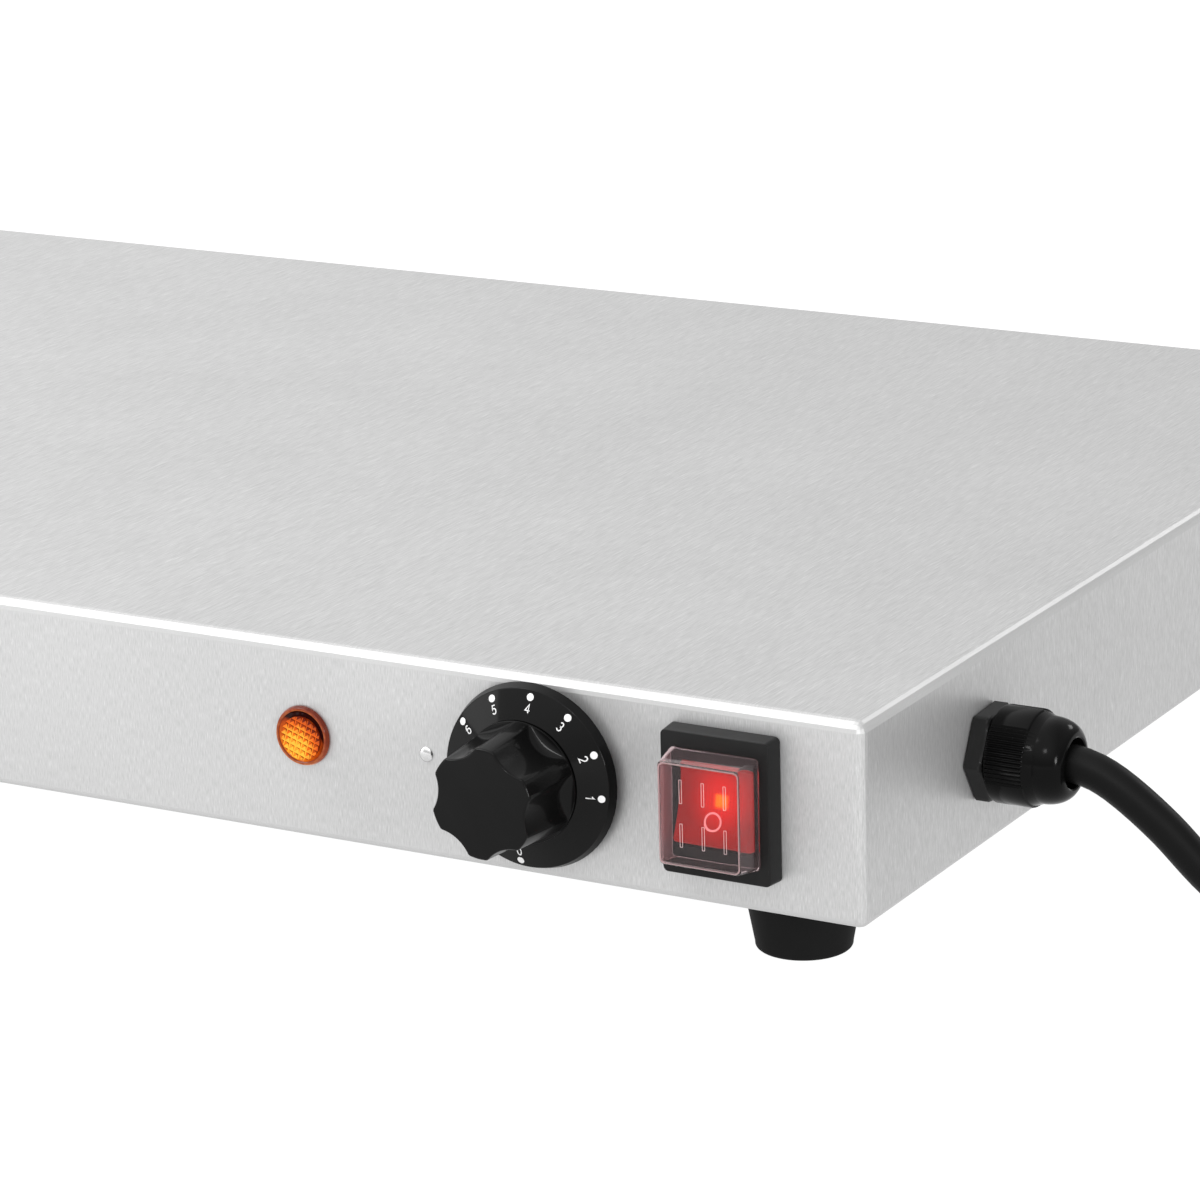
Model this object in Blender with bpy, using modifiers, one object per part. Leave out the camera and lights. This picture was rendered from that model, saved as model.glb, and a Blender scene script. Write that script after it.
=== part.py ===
"""Electric food warmer tray, modelled piece by piece at its real size.

A folded stainless shell carries a tubular heating element under its top sheet. Its front
panel holds a pilot lamp, a thermostat with a dial, and a rocker switch under a clear cover.
The supply cord leaves through a gland in the right side. Lengths are in metres, +Z is up and
the front panel faces -Y. The origin lies on the surface that the tray stands on, in the
middle of the footprint of the tray with its dial and gland.
"""

import math

import bmesh
import bpy
from mathutils import Matrix, Vector

# Fits between pieces
CLEARANCE = 0.0003
SHAFT_CLEARANCE = 0.0001
CUT_OVERRUN = 0.002
MERGE_DISTANCE = 0.00001

# Facets of round pieces
FINE_STEPS = 48
ROUND_STEPS = 32
FOOT_STEPS = 28
SMALL_STEPS = 16
SCREW_STEPS = 12
ARC_STEPS = 4

# Shell
TRAY_WIDTH = 0.600
TRAY_DEPTH = 0.400
PANEL_HEIGHT = 0.0543
SHEET = 0.0010
BEND_RADIUS = 0.0030
CORNER_RADIUS = 0.0018
FLANGE_WIDTH = 0.0160

# Base plate
BASE_SHEET = 0.0008
BASE_INSET = 0.0050
VENT_LENGTH = 0.0300
VENT_WIDTH = 0.0030
VENT_PITCH = 0.0090
VENT_COUNT = 6
VENT_FROM_FRONT = 0.0600

# Feet
FOOT_HEIGHT = 0.0202
FOOT_TOP_RADIUS = 0.0163
FOOT_BOTTOM_RADIUS = 0.0129
FOOT_EDGE_RADIUS = 0.0012
FOOT_INSET = 0.0354
FOOT_RECESS_RADIUS = 0.0065
FOOT_WEB = 0.0080
FOOT_SCREW_RADIUS = 0.0025
FOOT_SCREW_HEAD_RADIUS = 0.0048
FOOT_SCREW_HEAD = 0.0030
FOOT_SCREW_REACH = 0.0050

# Screws that hold the base plate
PLATE_SCREW_RADIUS = 0.0018
PLATE_SCREW_HEAD_RADIUS = 0.0035
PLATE_SCREW_HEAD = 0.0020
PLATE_SCREW_REACH = 0.0050

# Heating stack
SPREADER_THICKNESS = 0.0015
SPREADER_FROM_SIDE = 0.025
SPREADER_PAST_RUNS = 0.0225
SPREADER_CORNER = 0.0100
ELEMENT_RADIUS = 0.00325
ELEMENT_RUN_COUNT = 4
ELEMENT_FROM_SIDE = 0.085
ELEMENT_TAIL = 0.018
ELEMENT_PIN_RADIUS = 0.0016
ELEMENT_PIN_LENGTH = 0.015
HEATER_FROM_FRONT = 0.080
HEATER_FROM_BACK = 0.065
BAR_THICKNESS = 0.0015
BAR_WIDTH = 0.020
BAR_FROM_RUN_END = 0.065
BAR_OVERHANG = 0.012
STUD_RADIUS = 0.0025
STUD_TAIL = 0.0030
NUT_RADIUS = 0.0046
NUT_HEIGHT = 0.0045
BLANKET_THICKNESS = 0.0180
BLANKET_FROM_SIDE = 0.050
BLANKET_PAST_RUNS = 0.015
BLANKET_EDGE = 0.004

# Controls on the front panel
CONTROL_HEIGHT = 0.0285
PILOT_FROM_RIGHT = 0.1656
PIP_FROM_RIGHT = 0.1275
DIAL_FROM_RIGHT = 0.0936
SWITCH_FROM_RIGHT = 0.0386
PIP_RADIUS = 0.0018
PIP_HEIGHT = 0.0007

# Pilot lamp
LENS_RADIUS = 0.00825
LENS_LEAN = 0.0006
LENS_EDGE = 0.0007
LENS_EDGE_END = 20.0
LENS_HEIGHT = 0.0018
LENS_RIM = 0.0006
LENS_FIELD_DEPTH = 0.0005
LENS_STEM_RADIUS = 0.0048
PILOT_BARREL_RADIUS = 0.0063
PILOT_BARREL_BORE = 0.0053
PILOT_BARREL_LENGTH = 0.0220
PILOT_BARREL_FLOOR = 0.0030
PILOT_CLIP_RADIUS = 0.0080
PILOT_CLIP_LENGTH = 0.0040

# Dial
DIAL_RADIUS = 0.0251
DIAL_BACK_GAP = 0.0026
DIAL_SIDE = 0.0032
DIAL_SIDE_TAPER = 0.0008
DIAL_CONE_RISE = 0.0029
DIAL_WALL = 0.0018
HUB_RADIUS = 0.0070
GRIP_BASE_RADIUS = 0.0165
GRIP_REACH = 0.0290
GRIP_LOBE_RADIUS = 0.0150
GRIP_FLUTE_RADIUS = 0.0107
GRIP_VALLEY_RADIUS = 0.0129
GRIP_LOBES = 6
GRIP_LOBE_TURN = 24.0
GRIP_LOBE_STEPS = 12
GRIP_SKIRT = 0.0009
GRIP_RUN_OUT = 0.0034
GRIP_EDGE = 0.0008
GRIP_BORE_DEPTH = 0.0150

# Thermostat
SHAFT_RADIUS = 0.0030
SHAFT_FLAT = 0.0022
SHAFT_HOLE_RADIUS = 0.0055
SHAFT_SEAT = 0.0100
THERMOSTAT_WIDTH = 0.0440
THERMOSTAT_HEIGHT = 0.0340
THERMOSTAT_DEPTH = 0.0300
THERMOSTAT_EDGE = 0.0020
THERMOSTAT_SCREW_SPACING = 0.0280
THERMOSTAT_SCREW_RADIUS = 0.0020
THERMOSTAT_SCREW_HEAD_RADIUS = 0.0036
THERMOSTAT_SCREW_HEAD = 0.0018
THERMOSTAT_SCREW_REACH = 0.0060
CAPILLARY_RADIUS = 0.0010
BULB_LENGTH = 0.0800
BULB_OFFSET = 0.0200

# Switch
BEZEL_WIDTH = 0.0314
BEZEL_HEIGHT = 0.0386
BEZEL_DEPTH = 0.0060
BEZEL_CORNER = 0.0014
BEZEL_EDGE = 0.0006
COVER_BASE_WIDTH = 0.0256
COVER_BASE_HEIGHT = 0.0298
COVER_TOP_WIDTH = 0.0233
COVER_TOP_HEIGHT = 0.0274
COVER_RISE = 0.0085
COVER_WALL = 0.0010
COVER_CORNER = 0.0020
COVER_EDGE = 0.0012
HOUSING_WIDTH = 0.0224
HOUSING_HEIGHT = 0.0300
HOUSING_DEPTH = 0.0240
HOUSING_FLOOR = 0.0080
ROCKER_WIDTH = 0.0191
ROCKER_TIP_RADIUS = 0.0106
ROCKER_AXIS_OUT = 0.0040
ROCKER_TIP_ANGLE = 19.5
ROCKER_TILT = 13.0
ROCKER_DISH = 0.0009
ROCKER_BACK = 0.0030
ROCKER_SIDE_GAP = 0.0006
PIVOT_RADIUS = 0.0012
PIVOT_REACH = 0.0016
TERMINAL_WIDTH = 0.0063
TERMINAL_THICKNESS = 0.0008
TERMINAL_LENGTH = 0.0100
TERMINAL_SPACING_X = 0.0110
TERMINAL_SPACING_Z = 0.0140

# Cable gland
GLAND_FROM_FRONT = 0.0703
GLAND_HEIGHT = 0.0264
GLAND_HEX_RADIUS = 0.0134
GLAND_HEX_TURN = 2.8
GLAND_HEX_LENGTH = 0.0052
GLAND_HEX_CHAMFER = 0.0010
GLAND_THREAD_RADIUS = 0.0093
GLAND_THREAD_LENGTH = 0.0120
GLAND_NECK_RADIUS = 0.0098
GLAND_NECK_LENGTH = 0.0065
GLAND_NUT_RADIUS = 0.01305
GLAND_NUT_LENGTH = 0.0110
GLAND_RIB_DEPTH = 0.0006
GLAND_RIBS = 14
GLAND_RIB_SECTORS = 3
GLAND_RIB_SPAN = 74.0
GLAND_RIB_TURN = 16.0
GLAND_SHOULDER_RADIUS = 0.0116
GLAND_SHOULDER_LENGTH = 0.0024
GLAND_DOME_LENGTH = 0.0073
GLAND_MOUTH_RADIUS = 0.0068
GLAND_SEAL_RADIUS = 0.0090
GLAND_SEAL_LENGTH = 0.0090
LOCKNUT_RADIUS = 0.0125
LOCKNUT_LENGTH = 0.0050

# Supply cord and its coil
CORD_RADIUS = 0.0050
CORD_INSIDE = 0.0280
COIL_RADIUS = 0.0780
COIL_GAP = 0.0010
COIL_LOOPS_IN = 1.5
COIL_LOOPS_UP = 0.5
COIL_LOOPS_OUT = 1.25
COIL_POINTS_PER_LOOP = 24
COIL_FROM_SIDE = 0.1900
COIL_SETBACK = 0.0040
CORD_DROP_ROUTE = (
    (0.0040, 0.0000, 0.0000),
    (0.0110, 0.0000, -0.0016),
    (0.0190, 0.0000, -0.0058),
    (0.0300, 0.0004, -0.0142),
    (0.0430, 0.0012, -0.0264),
    (0.0580, 0.0024, -0.0364),
    (0.0760, 0.0034, -0.0416),
    (0.0900, 0.0039, -0.0426),
)
TAIL_RUN = 0.0500

# Plug
PLUG_RADIUS = 0.0185
PLUG_LENGTH = 0.0400
PLUG_NECK_RADIUS = 0.0070
PLUG_NECK_LENGTH = 0.0120
PLUG_EDGE = 0.0020
PLUG_PIN_RADIUS = 0.0024
PLUG_PIN_LENGTH = 0.0190
PLUG_PIN_SPACING = 0.0190

# Inner wiring
LEAD_RADIUS = 0.0014
LEAD_SPREAD = 0.0024
EARTH_STUD_RADIUS = 0.0020
EARTH_STUD_LENGTH = 0.0120
EARTH_FROM_FRONT = 0.1050
EARTH_NUT_RADIUS = 0.0040
EARTH_NUT_HEIGHT = 0.0032

# Levels and faces worked out from the sizes above
PANEL_BASE_Z = FOOT_HEIGHT + BASE_SHEET + 2 * CLEARANCE
TOP_Z = PANEL_BASE_Z + PANEL_HEIGHT
SPREADER_TOP_Z = TOP_Z - SHEET - CLEARANCE
SPREADER_BASE_Z = SPREADER_TOP_Z - SPREADER_THICKNESS
ELEMENT_Z = SPREADER_BASE_Z - CLEARANCE - ELEMENT_RADIUS
BAR_TOP_Z = ELEMENT_Z - ELEMENT_RADIUS - CLEARANCE
BAR_BASE_Z = BAR_TOP_Z - BAR_THICKNESS
NUT_TOP_Z = BAR_BASE_Z - CLEARANCE
STUD_END_Z = NUT_TOP_Z - NUT_HEIGHT - STUD_TAIL
BASE_TOP_Z = PANEL_BASE_Z - CLEARANCE
FRONT_Y = -TRAY_DEPTH / 2
RIGHT_X = TRAY_WIDTH / 2
HEATER_DEPTH = TRAY_DEPTH - HEATER_FROM_FRONT - HEATER_FROM_BACK
FIRST_RUN_Y = FRONT_Y + HEATER_FROM_FRONT
HEATER_MIDDLE_Y = FIRST_RUN_Y + HEATER_DEPTH / 2
ELEMENT_RUN_PITCH = HEATER_DEPTH / (ELEMENT_RUN_COUNT - 1)
ELEMENT_HALF_RUN = RIGHT_X - ELEMENT_FROM_SIDE
BAR_OFFSET = ELEMENT_HALF_RUN - BAR_FROM_RUN_END
SPREADER_WIDTH = TRAY_WIDTH - 2 * SPREADER_FROM_SIDE
SPREADER_DEPTH = HEATER_DEPTH + 2 * SPREADER_PAST_RUNS
BLANKET_WIDTH = TRAY_WIDTH - 2 * BLANKET_FROM_SIDE
BLANKET_DEPTH = HEATER_DEPTH + 2 * BLANKET_PAST_RUNS
BEHIND_PANEL = -SHEET - CLEARANCE
DIAL_X = RIGHT_X - DIAL_FROM_RIGHT
SWITCH_X = RIGHT_X - SWITCH_FROM_RIGHT
PILOT_X = RIGHT_X - PILOT_FROM_RIGHT
GLAND_Y = FRONT_Y + GLAND_FROM_FRONT
GLAND_Z = PANEL_BASE_Z + GLAND_HEIGHT
GLAND_NUT_START = GLAND_HEX_LENGTH + CLEARANCE
GLAND_DOME_START = GLAND_NUT_START + GLAND_NUT_LENGTH + GLAND_SHOULDER_LENGTH
GLAND_REACH = GLAND_DOME_START + GLAND_DOME_LENGTH
SEAL_START = GLAND_HEX_LENGTH + GLAND_NECK_LENGTH + CLEARANCE
CORD_START = SEAL_START + GLAND_SEAL_LENGTH + CLEARANCE
GRIP_BASE_OUT = DIAL_BACK_GAP + DIAL_SIDE + DIAL_CONE_RISE + CLEARANCE
CORD_REST_Z = CORD_RADIUS + CLEARANCE
PIVOT_LENGTH = ROCKER_WIDTH + 2 * PIVOT_REACH

COLOURS = {
    "stainless": ((0.60, 0.60, 0.59), 1.0, 0.32),
    "zinc": ((0.55, 0.56, 0.57), 1.0, 0.40),
    "aluminium": ((0.75, 0.75, 0.76), 1.0, 0.35),
    "element_steel": ((0.20, 0.19, 0.18), 1.0, 0.50),
    "brass": ((0.70, 0.52, 0.25), 1.0, 0.35),
    "copper": ((0.70, 0.38, 0.25), 1.0, 0.35),
    "black_plastic": ((0.018, 0.018, 0.019), 0.0, 0.45),
    "grey_nylon": ((0.030, 0.030, 0.031), 0.0, 0.50),
    "black_rubber": ((0.015, 0.015, 0.015), 0.0, 0.70),
    "amber": ((0.80, 0.30, 0.05), 0.0, 0.15),
    "red_rocker": ((0.75, 0.05, 0.03), 0.0, 0.25),
    "clear_cover": ((0.62, 0.55, 0.58), 0.0, 0.08),
    "mineral_wool": ((0.60, 0.58, 0.50), 0.0, 0.95),
    "ceramic_white": ((0.80, 0.78, 0.74), 0.0, 0.40),
    "lead_brown": ((0.16, 0.06, 0.03), 0.0, 0.50),
    "lead_blue": ((0.03, 0.10, 0.40), 0.0, 0.50),
    "lead_earth": ((0.20, 0.45, 0.06), 0.0, 0.50),
}


class Workshop:
    """The collections, materials and empties that every piece hangs on."""

    def __init__(self):
        for obj in list(bpy.data.objects):
            bpy.data.objects.remove(obj)
        self.parts = self.new_collection("electric_food_warmer_tray")
        self.tools = self.new_collection("cutters")
        self.materials = {}
        self.root = self.new_empty("tray_centre", (-GLAND_REACH / 2, GRIP_REACH / 2, 0), (0, 0, 0))
        quarter = math.pi / 2
        front = (0, FRONT_Y, PANEL_BASE_Z)
        side = (RIGHT_X, 0, PANEL_BASE_Z)
        self.front = self.new_empty("front_panel_face", front, (quarter, 0, 0), self.root)
        self.side = self.new_empty("side_panel_face", side, (quarter, 0, quarter), self.root)

    def new_collection(self, name):
        """Make a collection in the scene."""
        collection = bpy.data.collections.new(name)
        bpy.context.scene.collection.children.link(collection)
        return collection

    def new_empty(self, name, location, rotation, parent=None):
        """Make an empty that pieces are parented to."""
        empty = bpy.data.objects.new(name, None)
        empty.empty_display_size = SHAFT_RADIUS
        self.parts.objects.link(empty)
        empty.location = location
        empty.rotation_euler = rotation
        empty.parent = parent
        return empty

    def material(self, name):
        """Return the named material, made once as a Principled BSDF."""
        if name not in self.materials:
            colour, metallic, roughness = COLOURS[name]
            made = bpy.data.materials.new(name)
            made.use_nodes = True
            shader = made.node_tree.nodes["Principled BSDF"]
            shader.inputs["Base Color"].default_value = (*colour, 1.0)
            shader.inputs["Metallic"].default_value = metallic
            shader.inputs["Roughness"].default_value = roughness
            self.materials[name] = made
        return self.materials[name]

    def piece(self, name, data, material, parent=None, location=(0, 0, 0), rotation=(0, 0, 0)):
        """Add one sub-part with its own material."""
        obj = bpy.data.objects.new(name, data)
        self.parts.objects.link(obj)
        data.materials.clear()
        data.materials.append(self.material(material))
        obj.parent = parent or self.root
        obj.location = location
        obj.rotation_euler = rotation
        return obj

    def tool(self, name, data, parent=None, location=(0, 0, 0), rotation=(0, 0, 0)):
        """Add a cutter or a piece to be joined, hidden from the build."""
        obj = bpy.data.objects.new(name, data)
        self.tools.objects.link(obj)
        obj.hide_render = True
        obj.display_type = "WIRE"
        obj.parent = parent or self.root
        obj.location = location
        obj.rotation_euler = rotation
        return obj


def boolean(target, other, operation):
    """Cut or join one object with another."""
    modifier = target.modifiers.new(other.name, "BOOLEAN")
    modifier.operation = operation
    modifier.solver = "EXACT"
    modifier.object = other


def cut(target, cutter):
    """Remove the cutter's shape from the target."""
    boolean(target, cutter, "DIFFERENCE")


def join(target, other):
    """Weld the other shape to the target."""
    boolean(target, other, "UNION")


def bevel(obj, width, segments=2, angle=30.0):
    """Round the edges that are sharper than the angle."""
    modifier = obj.modifiers.new("edge_rounding", "BEVEL")
    modifier.width = width
    modifier.segments = segments
    modifier.limit_method = "ANGLE"
    modifier.angle_limit = math.radians(angle)


def smooth(mesh, angle=35.0):
    """Shade a mesh smooth and keep its sharp edges."""
    mesh.shade_smooth()
    mesh.set_sharp_from_angle(angle=math.radians(angle))
    return mesh


def mesh_from(bm, name):
    """Turn a bmesh into smooth-shaded mesh data."""
    bmesh.ops.recalc_face_normals(bm, faces=bm.faces)
    mesh = bpy.data.meshes.new(name)
    bm.to_mesh(mesh)
    bm.free()
    return smooth(mesh)


def block(name, width, depth, height, base=0.0):
    """Return a box that stands on the level given by base."""
    bm = bmesh.new()
    scale = Matrix.Diagonal((width, depth, height, 1))
    lift = Matrix.Translation((0, 0, base + height / 2))
    bmesh.ops.create_cube(bm, size=1, matrix=lift @ scale)
    return mesh_from(bm, name)


def cylinder(name, radius, height, base=0.0, segments=SMALL_STEPS, turn=0.0):
    """Return a cylinder, or a prism, that stands on the level given by base."""
    bm = bmesh.new()
    place = Matrix.Translation((0, 0, base + height / 2)) @ Matrix.Rotation(turn, 4, "Z")
    bmesh.ops.create_cone(
        bm, cap_ends=True, segments=segments, radius1=radius, radius2=radius, depth=height, matrix=place
    )
    return mesh_from(bm, name)


def evaluated_mesh(obj, name):
    """Return the mesh of an object with its modifiers applied, its ends welded."""
    depsgraph = bpy.context.evaluated_depsgraph_get()
    mesh = bpy.data.meshes.new_from_object(obj.evaluated_get(depsgraph))
    mesh.name = name
    bm = bmesh.new()
    bm.from_mesh(mesh)
    bmesh.ops.remove_doubles(bm, verts=bm.verts, dist=MERGE_DISTANCE)
    bmesh.ops.recalc_face_normals(bm, faces=bm.faces)
    bm.to_mesh(mesh)
    bm.free()
    return smooth(mesh)


def turned(name, profile, steps=ROUND_STEPS):
    """Turn a profile of (radius, height) points about Z, outer side top to bottom."""
    mesh = bpy.data.meshes.new(name)
    points = [(radius, 0, height) for radius, height in profile]
    edges = [(index, index + 1) for index in range(len(points) - 1)]
    is_ring = profile[0][0] > 0
    if is_ring:
        edges.append((len(points) - 1, 0))
    mesh.from_pydata(points, edges, [])
    blank = bpy.data.objects.new(name, mesh)
    bpy.context.scene.collection.objects.link(blank)
    screw = blank.modifiers.new("turning", "SCREW")
    screw.steps = steps
    screw.render_steps = steps
    screw.use_merge_vertices = True
    screw.merge_threshold = MERGE_DISTANCE
    result = evaluated_mesh(blank, name)
    bpy.data.objects.remove(blank)
    return result


def arc(centre, radius, start, end, steps=ARC_STEPS):
    """Return points along an arc, angles in degrees, both ends included."""
    points = []
    for index in range(steps + 1):
        angle = math.radians(start + (end - start) * index / steps)
        points.append((centre[0] + radius * math.cos(angle), centre[1] + radius * math.sin(angle)))
    return points


def rounded_rectangle(width, height, radius, steps=ARC_STEPS):
    """Return the outline of a rectangle with round corners, anticlockwise."""
    x = width / 2 - radius
    y = height / 2 - radius
    corners = (((x, y), 0), ((-x, y), 90), ((-x, -y), 180), ((x, -y), 270))
    outline = []
    for centre, start in corners:
        outline += arc(centre, radius, start, start + 90, steps)
    return outline


def extruded(name, outline, height, base=0.0):
    """Return a flat outline raised to a solid that stands on the level given by base."""
    curve = bpy.data.curves.new(name, "CURVE")
    curve.dimensions = "2D"
    curve.fill_mode = "BOTH"
    curve.extrude = height / 2
    spline = curve.splines.new("POLY")
    spline.points.add(len(outline) - 1)
    for point, (x, y) in zip(spline.points, outline):
        point.co = (x, y, 0, 1)
    spline.use_cyclic_u = True
    blank = bpy.data.objects.new(name, curve)
    bpy.context.scene.collection.objects.link(blank)
    result = evaluated_mesh(blank, name)
    bpy.data.objects.remove(blank)
    result.transform(Matrix.Translation((0, 0, base + height / 2)))
    return result


def loft(name, rings):
    """Skin a stack of rings with equal point counts and close both ends."""
    bm = bmesh.new()
    rows = [[bm.verts.new(point) for point in ring] for ring in rings]
    count = len(rows[0])
    for lower, upper in zip(rows, rows[1:]):
        for index in range(count):
            following = (index + 1) % count
            bm.faces.new((lower[index], lower[following], upper[following], upper[index]))
    bm.faces.new(rows[0])
    bm.faces.new(rows[-1])
    return mesh_from(bm, name)


def tube(name, points, radius, resolution=2, radii=None):
    """Return a round tube along a line of points, its ends filled."""
    curve = bpy.data.curves.new(name, "CURVE")
    curve.dimensions = "3D"
    curve.bevel_depth = radius
    curve.bevel_resolution = resolution
    curve.use_fill_caps = True
    spline = curve.splines.new("POLY")
    spline.points.add(len(points) - 1)
    for index, (point, place) in enumerate(zip(spline.points, points)):
        point.co = (*place, 1)
        if radii:
            point.radius = radii[index] / radius
    spline.use_smooth = True
    return curve


def smooth_route(points, spacing):
    """Return points about one spacing apart along a smooth curve through the given ones."""
    knots = [Vector(point) for point in points]
    padded = [2 * knots[0] - knots[1]] + knots + [2 * knots[-1] - knots[-2]]
    route = [knots[0]]
    for index in range(1, len(padded) - 2):
        before, start, end, after = padded[index - 1:index + 3]
        pieces = max(1, round((end - start).length / spacing))
        for step in range(1, pieces + 1):
            t = step / pieces
            blend = (
                2 * start
                + (end - before) * t
                + (2 * before - 5 * start + 4 * end - after) * t * t
                + (3 * start - before - 3 * end + after) * t ** 3
            )
            route.append(blend / 2)
    return route


def make_shell(shop):
    """Folded sheet: top, four sides and an inward flange, with welded studs."""
    bm = bmesh.new()
    size = Matrix.Diagonal((TRAY_WIDTH, TRAY_DEPTH, PANEL_HEIGHT, 1))
    lift = Matrix.Translation((0, 0, PANEL_BASE_Z + PANEL_HEIGHT / 2))
    bmesh.ops.create_cube(bm, size=1, matrix=lift @ size)
    bottom = min(bm.faces, key=lambda face: face.calc_center_median().z)
    bmesh.ops.inset_region(bm, faces=[bottom], thickness=FLANGE_WIDTH, use_even_offset=True)
    bmesh.ops.delete(bm, geom=[bottom], context="FACES")
    weight = bm.edges.layers.float.new("bevel_weight_edge")
    for edge in bm.edges:
        if len(edge.link_faces) < 2 or edge.calc_face_angle(0) < math.radians(45):
            continue
        heights = {round(vert.co.z - TOP_Z, 6) for vert in edge.verts}
        edge[weight] = 1.0 if 0.0 in heights else CORNER_RADIUS / BEND_RADIUS
    shell = shop.piece("top_shell", mesh_from(bm, "top_shell"), "stainless")
    rounding = shell.modifiers.new("bends", "BEVEL")
    rounding.width = BEND_RADIUS
    rounding.segments = ARC_STEPS
    rounding.limit_method = "WEIGHT"
    sheet = shell.modifiers.new("sheet", "SOLIDIFY")
    sheet.thickness = SHEET
    sheet.offset = -1
    sheet.use_even_offset = True
    cut_front_openings(shop, shell)
    cut_side_openings(shop, shell)
    cut_flange_holes(shop, shell)
    weld_on_details(shop, shell)
    return shell


def cut_front_openings(shop, shell):
    """Openings for the pilot lamp, the thermostat and the switch."""
    depth = SHEET + 2 * CUT_OVERRUN
    base = -SHEET - CUT_OVERRUN
    round_holes = [
        ("cut_pilot", PILOT_X, PILOT_BARREL_RADIUS + CLEARANCE),
        ("cut_shaft", DIAL_X, SHAFT_HOLE_RADIUS),
    ]
    for side in (-1, 1):
        x = DIAL_X + side * THERMOSTAT_SCREW_SPACING / 2
        round_holes.append((f"cut_thermostat_screw_{side}", x, THERMOSTAT_SCREW_RADIUS + CLEARANCE))
    for name, x, radius in round_holes:
        data = cylinder(name, radius, depth, base, ROUND_STEPS)
        cut(shell, shop.tool(name, data, shop.front, (x, CONTROL_HEIGHT, 0)))
    width = HOUSING_WIDTH + 2 * CLEARANCE
    height = HOUSING_HEIGHT + 2 * CLEARANCE
    data = block("cut_switch", width, height, depth, base)
    cut(shell, shop.tool("cut_switch", data, shop.front, (SWITCH_X, CONTROL_HEIGHT, 0)))


def cut_side_openings(shop, shell):
    """Opening for the cable gland's thread."""
    depth = SHEET + 2 * CUT_OVERRUN
    radius = GLAND_THREAD_RADIUS + CLEARANCE
    data = cylinder("cut_gland", radius, depth, -SHEET - CUT_OVERRUN, ROUND_STEPS)
    cut(shell, shop.tool("cut_gland", data, shop.side, (GLAND_Y, GLAND_HEIGHT, 0)))


def plate_screw_places():
    """Return where the four screws of the base plate stand, mid-way along the flanges."""
    x = RIGHT_X - (BASE_INSET + FLANGE_WIDTH) / 2
    y = -FRONT_Y - (BASE_INSET + FLANGE_WIDTH) / 2
    return [(x, 0), (0, y), (-x, 0), (0, -y)]


def foot_places():
    """Return the centres of the four feet."""
    x = RIGHT_X - FOOT_INSET
    y = -FRONT_Y - FOOT_INSET
    return [(x, -y), (x, y), (-x, y), (-x, -y)]


def cut_flange_holes(shop, shell):
    """Holes in the flange for the base plate's screws."""
    depth = SHEET + 2 * CUT_OVERRUN
    for index, (x, y) in enumerate(plate_screw_places(), 1):
        name = f"cut_flange_{index}"
        data = cylinder(name, PLATE_SCREW_RADIUS + CLEARANCE, depth, PANEL_BASE_Z - CUT_OVERRUN)
        cut(shell, shop.tool(name, data, shop.root, (x, y, 0)))


def stud_places():
    """Return where the clamp bars' welded studs stand."""
    places = []
    for x in (-BAR_OFFSET, BAR_OFFSET):
        for run in (0, ELEMENT_RUN_COUNT - 2):
            places.append((x, FIRST_RUN_Y + ELEMENT_RUN_PITCH * (run + 0.5)))
    return places


def weld_on_details(shop, shell):
    """Welded studs under the top sheet and in the side, and the dial's index pip."""
    for index, (x, y) in enumerate(stud_places(), 1):
        name = f"weld_stud_{index}"
        root = TOP_Z - SHEET / 2
        data = cylinder(name, STUD_RADIUS, root - STUD_END_Z, STUD_END_Z)
        join(shell, shop.tool(name, data, shop.root, (x, y, 0)))
    length = EARTH_STUD_LENGTH + SHEET / 2
    data = cylinder("weld_earth_stud", EARTH_STUD_RADIUS, length, -SHEET - EARTH_STUD_LENGTH)
    place = (FRONT_Y + EARTH_FROM_FRONT, GLAND_HEIGHT, 0)
    join(shell, shop.tool("weld_earth_stud", data, shop.side, place))
    rise = PIP_RADIUS * PIP_RADIUS / (2 * PIP_HEIGHT) + PIP_HEIGHT / 2
    crown = math.degrees(math.asin(PIP_RADIUS / rise))
    profile = [(0, PIP_HEIGHT)] + arc((0, PIP_HEIGHT - rise), rise, 90, 90 - crown)[1:]
    profile += [(PIP_RADIUS, -SHEET / 2), (0, -SHEET / 2)]
    data = turned("weld_pip", profile, SMALL_STEPS)
    place = (RIGHT_X - PIP_FROM_RIGHT, CONTROL_HEIGHT, 0)
    join(shell, shop.tool("weld_pip", data, shop.front, place))


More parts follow.
